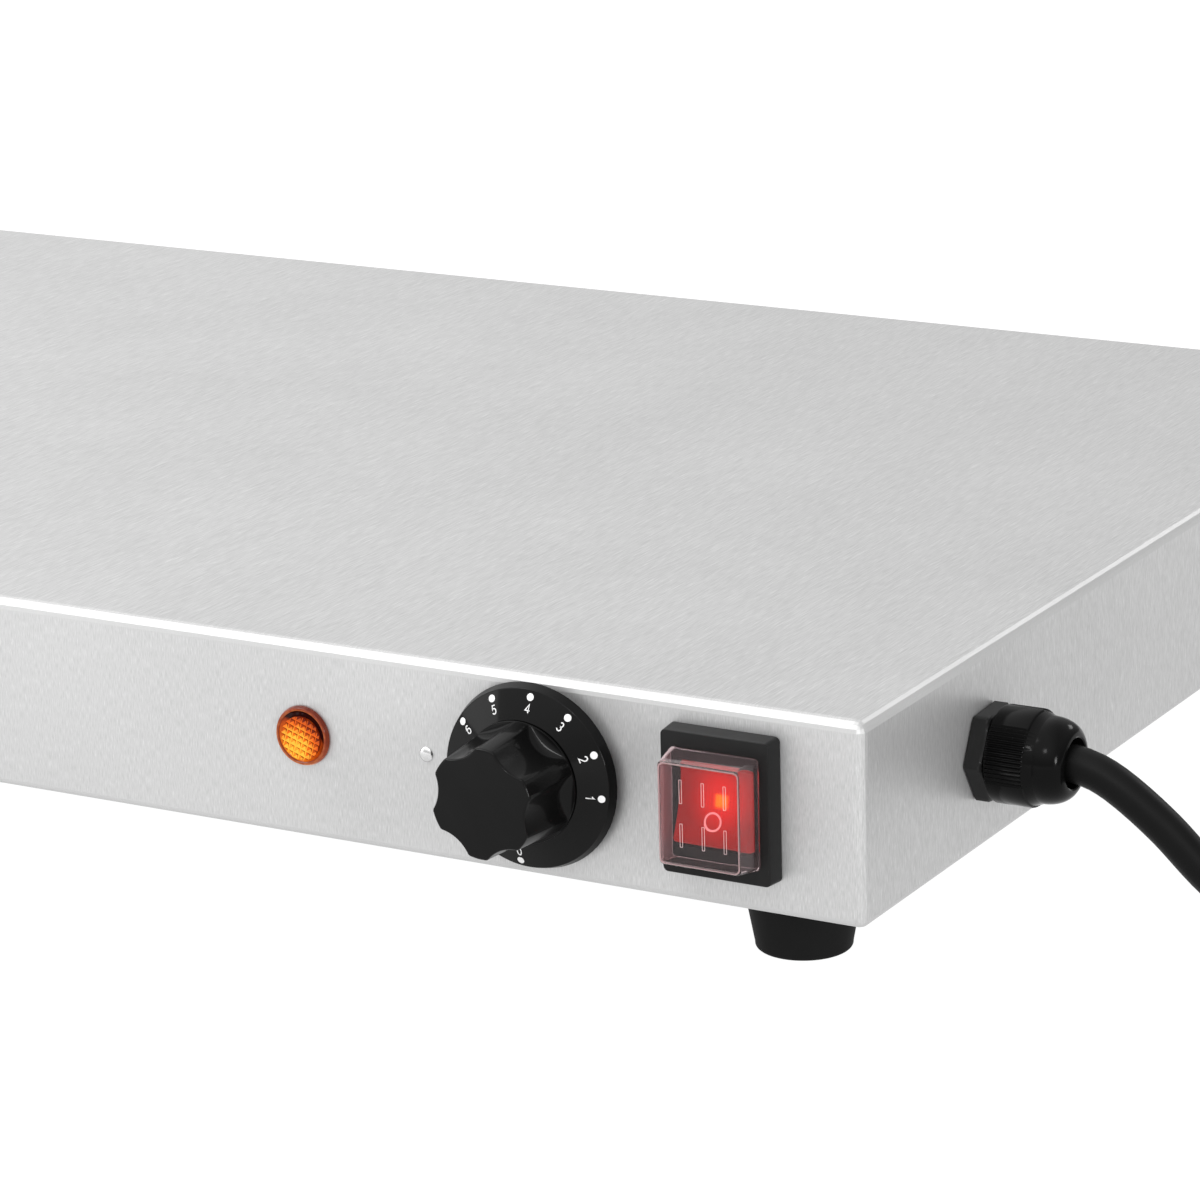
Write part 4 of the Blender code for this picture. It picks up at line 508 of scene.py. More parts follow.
@dataclass(frozen=True)
class LitAmber(Finish):
    """Amber acrylic with a neon lamp behind it.

    Each facet is lit by the way it faces: those that pass the lamp's light on are yellow and the
    others stay a deep red-brown. The light fades with the distance from the lamp, and painted
    shade darkens the upper part of the well.
    """

    label: str
    deep: str = "#4a1204"
    middle: str = "#f0680a"
    bright: str = "#ffc83c"
    stops: tuple[float, float, float] = (0.12, 0.55, 0.95)
    lamp_way: tuple[float, float, float] = (0.45, 0.62, 0.65)
    lamp_mm: tuple[float, float, float] = (-2.2, -3.2, 2.0)
    reach_mm: float = 11.0
    # Painted shade: past a band along this way the glow drops to a trace
    shade_way: tuple[float, float, float] = (0.42, 0.91, 0.0)
    shade_mm: tuple[float, float] = (20.0, 21.0)
    shade_strength: float = 0.015
    strength: float = 1.0
    ior: float = 1.49
    roughness: float = 0.12
    sheen_level: float = 0.12
    facing_gain: float = 0.8
    streak_gain: float = 0.5
    streak_mm: float = 10 / 7
    crest_share: float = 0.30
    near_share: float = 0.06
    far_share: float = -0.80

    def dress(self, tree: bpy.types.NodeTree, shader: bpy.types.Node) -> None:
        """Emission by facet direction, distance and shade.

        Args:
            tree: node tree of the material.
            shader: its surface shader.
        """
        place = add_node(tree, "TexCoord", output="Object")
        normal = add_node(tree, "TexCoord", output="Normal")
        facing = add_node(tree, "VectorMath:DOT_PRODUCT", {0: normal, 1: self.lamp_way}, "Value")
        lamp = [value / 1000 for value in self.lamp_mm]
        away = add_node(tree, "VectorMath:DISTANCE", {0: place, 1: lamp}, "Value")
        near = add_node(tree, "MapRange:SMOOTHSTEP", {
            "Value": away, "From Min": 0.0, "From Max": self.reach_mm / 1000,
            "To Min": self.near_share, "To Max": self.far_share,
        })
        streak = add_node(
            tree, "TexNoise", {"Vector": place, "Scale": repeats(self.streak_mm), "Detail": 2.0}
        )
        crest = add_node(tree, "MapRange", {
            "Value": add_node(tree, "SeparateXYZ", {"Vector": normal}, "Z"),
            "From Min": 0.94, "From Max": 0.99, "To Min": 0.0, "To Max": self.crest_share,
        })
        spread = add_node(tree, "Math:ADD", {0: near, 1: crest})
        lit = add_node(tree, "Math:MULTIPLY_ADD", {0: facing, 1: self.facing_gain, 2: spread})
        uneven = add_node(tree, "Math:MULTIPLY_ADD", {0: streak, 1: self.streak_gain, 2: lit})
        ramped = add_node(tree, "ValToRGB", {"Fac": uneven})
        low, high = ramped.node.color_ramp.elements
        low.position, low.color = self.stops[0], linear(self.deep)
        high.position, high.color = self.stops[2], linear(self.bright)
        ramped.node.color_ramp.elements.new(self.stops[1]).color = linear(self.middle)
        # Painted shade: the glow falls away past a band along shade_way
        along = add_node(tree, "VectorMath:DOT_PRODUCT", {0: place, 1: self.shade_way}, "Value")
        shade = add_node(tree, "MapRange:SMOOTHSTEP", {
            "Value": along, "From Min": self.shade_mm[0] / 1000,
            "From Max": self.shade_mm[1] / 1000,
            "To Min": self.strength, "To Max": self.shade_strength,
        })
        feed(shader, {
            "Base Color": linear(self.deep), "Roughness": self.roughness, "IOR": self.ior,
            "Specular IOR Level": self.sheen_level, "Emission Color": ramped,
            "Emission Strength": shade,
        })


@dataclass(frozen=True)
class FibreBlanket(Finish):
    """Needled mineral wool: matt, yellowish, with matted fibres all ways."""

    label: str = "needled_mineral_wool"
    light: str = "#d9cfa8"
    dark: str = "#a3946a"
    fibre_mm: float = 0.8
    fibre_depth_mm: float = 0.8
    clump_mm: float = 14.0
    roughness: float = 0.95
    fuzz: float = 0.2

    def dress(self, tree: bpy.types.NodeTree, shader: bpy.types.Node) -> None:
        """Warped fibres over broad clumps.

        Args:
            tree: node tree of the material.
            shader: its surface shader.
        """
        place = add_node(tree, "TexCoord", output="Object")
        clump = add_node(
            tree, "TexNoise", {"Vector": place, "Scale": repeats(self.clump_mm), "Detail": 4.0}
        )
        fibre = add_node(tree, "TexNoise", {
            "Vector": place, "Scale": repeats(self.fibre_mm), "Detail": 3.0, "Distortion": 2.5,
        })
        both = add_node(tree, "Math:MULTIPLY", {0: clump, 1: fibre})
        level = add_node(tree, "MapRange", {"Value": both, "From Min": 0.12, "From Max": 0.38})
        colour = add_node(tree, "Mix:RGBA", {
            0: level, COLOURS[0]: linear(self.dark), COLOURS[1]: linear(self.light),
        }, COLOUR_OUT)
        bump = add_node(
            tree, "Bump",
            {"Height": both, "Strength": 0.8, "Distance": self.fibre_depth_mm / 1000},
        )
        feed(shader, {
            "Roughness": self.roughness, "Sheen Weight": self.fuzz, "Base Color": colour,
            "Normal": bump,
        })


@dataclass(frozen=True)
class StudioFloor(Finish):
    """Opal acrylic of a light table, lit from below, so that shadows on it stay pale."""

    label: str = "opal_acrylic_table"
    colour: str = "#505050"
    glow: str = "#ffffff"
    tooth_mm: float = 1.5
    tooth_depth_mm: float = 0.1
    fill: float = 0.98
    front_fill: float = 1.36
    front_way: tuple[float, float, float] = (-0.45, -0.9, 0.0)
    front_span: tuple[float, float] = (0.1, 0.6)
    roughness: float = 0.9
    sheen_level: float = 0.1

    def dress(self, tree: bpy.types.NodeTree, shader: bpy.types.Node) -> None:
        """Pale acrylic whose glow grows toward the front.

        Args:
            tree: node tree of the material.
            shader: its surface shader.
        """
        place = add_node(tree, "TexCoord", output="Object")
        toward = add_node(tree, "VectorMath:DOT_PRODUCT", {0: place, 1: self.front_way}, "Value")
        glow = add_node(tree, "MapRange:SMOOTHSTEP", {
            "Value": toward, "From Min": self.front_span[0], "From Max": self.front_span[1],
            "To Min": self.fill, "To Max": self.front_fill,
        })
        tooth = add_node(tree, "TexNoise", {"Vector": place, "Scale": repeats(self.tooth_mm)})
        bump = add_node(
            tree, "Bump",
            {"Height": tooth, "Strength": 0.05, "Distance": self.tooth_depth_mm / 1000},
        )
        feed(shader, {
            "Base Color": linear(self.colour), "Roughness": self.roughness,
            "Specular IOR Level": self.sheen_level, "Emission Color": linear(self.glow),
            "Emission Strength": glow, "Normal": bump,
        })


# Type 430 stainless sheet of the shell
STAINLESS = BrushedStainless()
# The pip's crown, polished bright where the punch pressed it
POLISHED = Metal("polished_stainless_steel", "#d2d2d2", "#c4c4c4", 0.2, patch_mm=2.0)
# Zinc-plated mild steel: bluish, with a fine crystalline patchwork
ZINC = Metal("zinc_plated_steel", "#c9ccd0", "#a9adb2", 0.38, patch_mm=3.0)
# Rolled aluminium sheet: white metal with a soft mill sheen
MILL_ALUMINIUM = Metal("rolled_aluminium", "#dcdcde", "#cbcccf", 0.36, patch_mm=20.0)
# Stainless sheath of the element, straw to blue-black where the heat took it
HEATED_SHEATH = Metal("heat_tinted_sheath", "#6e655c", "#3b3836", 0.48, patch_mm=12.0)
# Drawn copper capillary, dulled by handling
COPPER = Metal("drawn_copper", "#d89a7c", "#b06a4c", 0.34, patch_mm=8.0)
# Stamped and turned brass of blades, pins and nuts
BRASS = Metal("turned_brass", "#dcbc7c", "#b8924e", 0.30, patch_mm=5.0)
# Phenolic compound of the dial: hard, black, with a dull satin sheen
PHENOLIC = MouldedPolymer(
    "black_phenolic", "#090909", "#0c0c0c", 0.30, ior=1.55, sheen_level=0.03, coat=0.18
)
# Glass-filled nylon of the bezel and the hexagon: black, slightly uneven satin
NYLON = MouldedPolymer(
    "glass_filled_nylon", "#141414", "#181818", 0.34, ior=1.53, sheen_level=0.11, coat=0.03
)
# Unfilled nylon of the dome nut: black and glossy from the mould
GLOSSY_NYLON = MouldedPolymer(
    "glossy_nylon", "#070707", "#0a0a0a", 0.15, ior=1.53, sheen_level=0.06, grain_depth_mm=0.002
)
# Natural rubber foot: matt black with fine pores
FOOT_RUBBER = MouldedPolymer(
    "moulded_foot_rubber", "#121212", "#161616", 0.62, ior=1.52, sheen_level=0.06, grain_mm=0.4
)
# Rubber sheath of the cord: smooth extruded, low sheen
CORD_SHEATH = MouldedPolymer(
    "extruded_cord_rubber", "#090909", "#0d0d0d", 0.44, ior=1.52, sheen_level=0.08, grain_mm=0.6
)
# Steatite body of the thermostat: off-white, unglazed
STEATITE = MouldedPolymer("steatite_ceramic", "#e6e1d6", "#d8d2c4", 0.60, ior=1.60, sink_mm=3.0)
# Vinyl insulation of the inner leads
BROWN_VINYL = MouldedPolymer("brown_vinyl", "#4a2a18", "#5a3420", 0.40)
BLUE_VINYL = MouldedPolymer("blue_vinyl", "#1f4fa0", "#2a5cb0", 0.40)
EARTH_VINYL = MouldedPolymer("green_yellow_vinyl", "#3f8f2a", "#d8cc30", 0.40, sink_mm=4.0)
# Pad-printed white ink of the scale: flat, opaque, a little chalky
SCALE_INK = MouldedPolymer("white_scale_ink", "#d8d8d8", "#cecece", 0.50)
# The same ink on the rocker, pink; its glow is partly the red lamp behind it and partly painted light
# for the studio light that the cover holds back
ROCKER_INK = MouldedPolymer("pink_rocker_ink", "#f8a8a8", "#f09c9c", 0.50, glow=0.7)
# Red-violet tinted polycarbonate of the splash cover
COVER_CLEAR = ClearPolymer("smoky_clear_polycarbonate", "#dcc8ca", 1.34, wall_haze=0.38)
# Clear polycarbonate of the cover's slots and front edge, with a pale glow that paints the highlight
# of each edge line
PAINTED_HIGHLIGHT_CLEAR = ClearPolymer(
    "painted_highlight_polycarbonate", "#f0dede", 1.45, roughness=0.4, glow="#d8c0c0", glow_strength=0.22
)
# Amber acrylic of the pilot's rim: painted shade dims its glow on facets facing up and right
AMBER_RIM = LitAmber(
    "amber_acrylic_rim", deep="#401208", middle="#9a4420", bright="#e8904c", strength=0.68,
    lamp_way=(-0.20, -0.30, 0.20), sheen_level=0.2, crest_share=0.0, near_share=0.35,
    far_share=0.2,
)
# Amber acrylic of the waffled field, lit from behind
AMBER_FIELD = LitAmber("lit_amber_acrylic")
# The well round the field, with painted shade that darkens its upper right
AMBER_WELL = LitAmber(
    "amber_acrylic_well", deep="#200808", middle="#c04808", bright="#f07818",
    shade_mm=(1.2, 2.6), strength=0.85, crest_share=0.0, near_share=0.2,
    far_share=-0.4,
)
LIT_RED = LitRocker()
MINERAL_WOOL = FibreBlanket()
TABLE = StudioFloor()


def finished(bm: bmesh.types.BMesh, name: str, sharp_deg: float = 35.0) -> bpy.types.Mesh:
    """Turn a bmesh into smooth-shaded mesh data.

    Args:
        bm: geometry, freed afterwards.
        name: name of the mesh.
        sharp_deg: edges steeper than this stay sharp.

    Returns:
        The mesh.
    """
    bmesh.ops.recalc_face_normals(bm, faces=bm.faces)
    mesh = bpy.data.meshes.new(name)
    bm.to_mesh(mesh)
    bm.free()
    mesh.shade_smooth()
    mesh.set_sharp_from_angle(angle=math.radians(sharp_deg))
    return mesh


def turned(name: str, profile: Outline, steps: int = 96, sharp_deg: float = 35.0) -> bpy.types.Mesh:
    """Turn a profile of (radius, height) points about Z.

    Args:
        name: name of the mesh.
        profile: points along the section; a profile clear of the axis is closed to a ring.
        steps: facets round the axis.
        sharp_deg: edges steeper than this stay sharp.

    Returns:
        The mesh.
    """
    bm = bmesh.new()
    points = [bm.verts.new((radius, 0, height)) for radius, height in profile]
    edges = [bm.edges.new(pair) for pair in zip(points, points[1:])]
    if profile[0][0] > 0:
        edges.append(bm.edges.new((points[-1], points[0])))
    bmesh.ops.spin(
        bm, geom=points + edges, cent=(0, 0, 0), axis=(0, 0, 1),
        angle=math.tau, steps=steps, use_merge=True,
    )
    bmesh.ops.remove_doubles(bm, verts=bm.verts, dist=MERGE)
    return finished(bm, name, sharp_deg)


def lofted(
    name: str, rings: list[Ring], closed: bool = False, sharp_deg: float = 35.0
) -> bpy.types.Mesh:
    """Skin a stack of rings with equal point counts.

    Args:
        name: name of the mesh.
        rings: the sections in order.
        closed: join the last ring to the first instead of capping both.
        sharp_deg: edges steeper than this stay sharp.

    Returns:
        The mesh.
    """
    bm = bmesh.new()
    rows = [[bm.verts.new(point) for point in ring] for ring in rings]
    count = len(rows[0])
    following = rows[1:] + rows[:1] if closed else rows[1:]
    for lower, upper in zip(rows, following):
        for index in range(count):
            after = (index + 1) % count
            bm.faces.new((lower[index], lower[after], upper[after], upper[index]))
    if not closed:
        bm.faces.new(rows[0])
        bm.faces.new(rows[-1])
    return finished(bm, name, sharp_deg)


def arc(centre: tuple[float, float], radius: float, start: float, end: float, steps: int) -> Outline:
    """Lay points along an arc, both ends included.

    Args:
        centre: centre of the arc.
        radius: its radius.
        start: angle of its first point in degrees.
        end: angle of its last point in degrees.
        steps: number of chords.

    Returns:
        The points.
    """
    points = []
    for index in range(steps + 1):
        angle = math.radians(start + (end - start) * index / steps)
        points.append((centre[0] + radius * math.cos(angle), centre[1] + radius * math.sin(angle)))
    return points


def rounded_rectangle(width: float, height: float, radius: float, steps: int = 6) -> Outline:
    """Outline a rectangle with round corners, anticlockwise about the origin.

    Args:
        width: its whole width.
        height: its whole height.
        radius: radius of the corners.
        steps: chords of each corner.

    Returns:
        The points of the outline.
    """
    x = width / 2 - radius
    y = height / 2 - radius
    outline: Outline = []
    for centre, start in (((x, y), 0), ((-x, y), 90), ((-x, -y), 180), ((x, -y), 270)):
        outline += arc(centre, radius, start, start + 90, steps)
    return outline


def quarter_turn(steps: int) -> list[float]:
    """Return the angles in radians of a quarter turn cut into steps, both ends included."""
    return [math.pi / 2 * index / steps for index in range(steps + 1)]


def smooth_route(points: list[Vector], spacing: float) -> list[Vector]:
    """Lay points on a smooth Catmull-Rom curve through the given ones.

    Args:
        points: places that the curve passes through.
        spacing: wanted distance between its points.

    Returns:
        The points of the curve, with both ends.
    """
    padded = [2 * points[0] - points[1]] + points + [2 * points[-1] - points[-2]]
    route = [points[0]]
    for index in range(1, len(padded) - 2):
        before, start, end, after = padded[index - 1:index + 3]
        pieces = max(1, round((end - start).length / spacing))
        for step in range(1, pieces + 1):
            t = step / pieces
            blend = (
                2 * start
                + (end - before) * t
                + (2 * before - 5 * start + 4 * end - after) * t * t
                + (3 * start - before - 3 * end + after) * t ** 3
            )
            route.append(blend / 2)
    return route


def oval(
    centre: tuple[float, float], width: float, height: float, start: float, end: float
) -> Outline:
    """Lay points along part of an upright oval.

    Args:
        centre: centre of the oval.
        width: half its width.
        height: half its height.
        start: angle of the first point in degrees.
        end: angle of the last point in degrees.

    Returns:
        The points.
    """
    return [
        (centre[0] + x * width, centre[1] + y * height)
        for x, y in arc((0, 0), 1, start, end, steps=20)
    ]


# Strokes of plain upright numerals, one unit high, and the middle of their width and height
NUMERALS: dict[str, list[Outline]] = {
    "0": [oval((0.27, 0.5), 0.25, 0.5, 0, 360)],
    "1": [[(0.10, 0.74), (0.22, 0.79), (0.31, 0.88), (0.34, 1.0), (0.34, 0.0)]],
    "2": [oval((0.27, 0.71), 0.25, 0.29, 165, -40) + [(0.03, 0.04), (0.53, 0.04)]],
    "3": [oval((0.26, 0.75), 0.21, 0.25, 150, -90), oval((0.26, 0.26), 0.25, 0.26, 95, -155)],
    "4": [[(0.40, 0.0), (0.40, 1.0), (0.01, 0.28), (0.56, 0.28)]],
    "5": [[(0.49, 0.97), (0.13, 0.97), (0.06, 0.48)] + oval((0.26, 0.31), 0.26, 0.31, 130, -150)],
    "6": [oval((0.27, 0.31), 0.25, 0.31, 0, 360), oval((0.29, 0.5), 0.27, 0.5, 48, 200)],
    "7": [[(0.02, 0.97), (0.53, 0.97), (0.20, 0.0)]],
}
NUMERAL_MIDDLE = (0.27, 0.5)


@dataclass
class Workbench:
    """Adds pieces to the scene, dresses them and lets them ride on their bodies."""

    pieces: list[bpy.types.Object] = field(default_factory=list)

    def add(
        self,
        name: str,
        data: bpy.types.ID,
        finish: Finish,
        matrix: Matrix,
        body: Body = Body.TRAY,
        stands_for: tuple[str, ...] = (),
    ) -> bpy.types.Object:
        """Add one piece.

        Args:
            name: name of the piece.
            data: its mesh or curve.
            finish: its finish.
            matrix: its place in the row frame.
            body: the body that it moves with.
            stands_for: CAD nodes that it replaces.

        Returns:
            The new object.
        """
        data.materials.clear()
        data.materials.append(finish.material())
        piece = bpy.data.objects.new(name, data)
        bpy.context.scene.collection.objects.link(piece)
        piece.matrix_world = matrix
        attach(piece, body.value)
        if stands_for:
            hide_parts(*stands_for)
        self.pieces.append(piece)
        LOG.info("piece %s in %s", name, finish.label)
        return piece

    def dress(self, finish: Finish, *nodes: str) -> None:
        """Give CAD nodes their finish.

        Args:
            finish: the finish.
            nodes: names of the CAD nodes.
        """
        for name in nodes:
            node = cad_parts[name]
            node.data.materials.clear()
            node.data.materials.append(finish.material())
            LOG.info("node %s in %s", name, finish.label)


@dataclass
class Shell:
    """The folded shell, its base plate and its feet."""

    centre: tuple[float, float] = (-0.0131, 0.0145)
    half_width: float = 0.300
    half_depth: float = 0.200
    # How much the flat faces outweigh the bends in the shading
    flat_weight: int = 100
    # Feet
    foot_inset: float = 0.0354
    foot_height: float = 0.0202
    foot_top: float = 0.0163
    foot_bottom: float = 0.0129
    foot_edge: float = 0.0012
    foot_side_deg: float = 10.0
    foot_recess: float = 0.0065
    foot_web: float = 0.0080
    screw_hole: float = 0.0028
    # Index pip
    pip_place: tuple[float, float] = (0.1725, 0.0285)
    pip_radius: float = 0.0021
    pip_height: float = 0.0009

    def foot_places(self) -> list[tuple[float, float]]:
        """Place the four feet in the row frame.

        Returns:
            Their centres.
        """
        x = self.half_width - self.foot_inset
        y = self.half_depth - self.foot_inset
        corners = ((x, -y), (x, y), (-x, y), (-x, -y))
        return [(self.centre[0] + a, self.centre[1] + b) for a, b in corners]

    def foot_mesh(self) -> bpy.types.Mesh:
        """Turn the tapered foot with its screw recess and rolled lower edge.

        Returns:
            The foot, standing on the floor at the origin.
        """
        recess = self.foot_height - self.foot_web
        edge = self.foot_edge
        top = self.foot_height
        profile = [(self.screw_hole, top), (self.foot_top - edge / 3, top)]
        profile += [(self.foot_top, top - edge / 3)]
        profile += arc((self.foot_bottom - edge, edge), edge, self.foot_side_deg, -90, steps=8)
        profile += arc((self.foot_recess + edge / 2, edge / 2), edge / 2, -90, -180, steps=4)
        profile += [(self.foot_recess, recess), (self.screw_hole, recess)]
        return turned("tapered_foot", profile)

    def pip_mesh(self) -> bpy.types.Mesh:
        """Turn the polished dome that the dial is read against.

        Returns:
            The dome, its base at the panel's face.
        """
        dome = [
            (self.pip_radius * math.sin(angle), self.pip_height * math.cos(angle))
            for angle in quarter_turn(steps=12)
        ]
        return turned("index_pip", dome + [(0, 0)], steps=48, sharp_deg=50)

    def build(self, bench: Workbench) -> None:
        """Dress the shell and build the feet and the index pip.

        Args:
            bench: the bench that adds the pieces.
        """
        bench.dress(STAINLESS, "top_shell")
        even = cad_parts["top_shell"].modifiers.new("even_shading", "WEIGHTED_NORMAL")
        even.weight = self.flat_weight
        bench.add("index_pip", self.pip_mesh(), POLISHED, Panel.FRONT.at(*self.pip_place))
        bench.dress(ZINC, "bottom_plate")
        for index, (x, y) in enumerate(self.foot_places(), 1):
            place = Matrix.Translation((x, y, 0))
            bench.add(
                f"tapered_foot_{index}", self.foot_mesh(), FOOT_RUBBER, place,
                stands_for=(f"foot_{index}",),
            )
            bench.dress(ZINC, f"foot_screw_{index}", f"plate_screw_{index}")


@dataclass
class PilotLamp:
    """Amber lens: a rolled rim, a well, and a waffled field lit from behind."""

    across: float = 0.1344
    up: float = 0.0285
    low: float = 0.0003
    # Rim
    radius: float = 0.00825
    rim_inner: float = 0.0073
    height: float = 0.0016
    lean: float = 0.0003
    edge: float = 0.0004
    lip: float = 0.0002
    side_deg: float = 20.0
    # Well: inset and lift of its dished edge
    well_gap: float = 0.00025
    well_level: float = 0.0008
    well_depth: float = 0.0003
    well_dish: tuple[tuple[float, float], ...] = (
        (0.0012, -0.0002), (0.0003, 0.0001), (0.0, 0.0004),
    )
    # Waffled field
    field_radius: float = 0.0060
    field_sides: int = 24
    field_place: tuple[float, float] = (-0.0003, -0.0006)
    field_level: float = 0.0015
    pitch: float = 0.00175
    ridge: float = 0.00026
    pit_depth: float = 0.0007
    skirt_depth: float = 0.0001
    twist_deg: float = -18.6

    def rim_mesh(self) -> bpy.types.Mesh:
        """Turn the low rim with its rolled crest and leaning side.

        Returns:
            The rim.
        """
        crest = self.radius - self.lean - self.edge
        inner = self.rim_inner - self.lip
        profile = [(inner, self.low), (inner, self.height - self.lip)]
        profile += [(self.rim_inner, self.height)]
        profile += arc((crest, self.height - self.edge), self.edge, 90, self.side_deg, steps=8)
        profile += [(self.radius, self.low + self.lip), (self.radius, self.low)]
        return turned("pilot_rim", profile, sharp_deg=30)

    def well_mesh(self) -> bpy.types.Mesh:
        """Turn the floor of the well, dished round the field.

        Returns:
            The floor, a little inside the rim.
        """
        edge = self.rim_inner - self.well_gap
        profile = [(0, self.well_level - self.well_depth)]
        profile += [(edge - inset, self.well_level + lift) for inset, lift in self.well_dish]
        profile += [(edge, self.low), (0, self.low)]
        return turned("pilot_well", profile, steps=72, sharp_deg=30)

    def field_mesh(self) -> bpy.types.Mesh:
        """Build the waffle: pits with flat ridges between, cut to a round outline.

        Returns:
            The waffle, in its place and turned as it sits in the lamp.
        """
        count = math.ceil(self.field_radius / self.pitch)
        half = self.pitch / 2
        pit = half - self.ridge / 2
        corners = ((-1, -1), (1, -1), (1, 1), (-1, 1))
        bm = bmesh.new()
        for column in range(-count, count + 1):
            for row in range(-count, count + 1):
                centre = Vector((column * self.pitch, row * self.pitch, 0))
                outer, inner = (
                    [bm.verts.new(centre + Vector((x * reach, y * reach, 0))) for x, y in corners]
                    for reach in (half, pit)
                )
                bottom = bm.verts.new(centre - Vector((0, 0, self.pit_depth)))
                for index in range(4):
                    after = (index + 1) % 4
                    bm.faces.new((outer[index], outer[after], inner[after], inner[index]))
                    bm.faces.new((inner[index], inner[after], bottom))
        bmesh.ops.remove_doubles(bm, verts=bm.verts, dist=MERGE)
        reach = self.field_radius * math.cos(math.pi / self.field_sides)
        for index in range(self.field_sides):
            angle = math.tau * index / self.field_sides
            way = Vector((math.cos(angle), math.sin(angle), 0))
            bmesh.ops.bisect_plane(
                bm, geom=bm.verts[:] + bm.edges[:] + bm.faces[:],
                plane_co=way * reach, plane_no=way, clear_outer=True,
            )
        rim = [edge for edge in bm.edges if edge.is_boundary]
        for item in bmesh.ops.extrude_edge_only(bm, edges=rim)["geom"]:
            if isinstance(item, bmesh.types.BMVert):
                item.co.z = -self.pit_depth - self.skirt_depth
        turn = Matrix.Rotation(math.radians(self.twist_deg), 4, "Z")
        bmesh.ops.transform(bm, matrix=turn, verts=bm.verts)
        lift = Vector((*self.field_place, self.field_level))
        bmesh.ops.translate(bm, verts=bm.verts, vec=lift)
        return finished(bm, "waffle_field", sharp_deg=10)

    def build(self, bench: Workbench) -> None:
        """Add the rim, the well and the field, and dress the body behind them.

        Args:
            bench: the bench that adds the pieces.
        """
        place = Panel.FRONT.at(self.across, self.up)
        bench.add("pilot_rim", self.rim_mesh(), AMBER_RIM, place, stands_for=("pilot_lens",))
        bench.add("pilot_well", self.well_mesh(), AMBER_WELL, place)
        bench.add("waffle_field", self.field_mesh(), AMBER_FIELD, place)
        bench.dress(NYLON, "pilot_body")


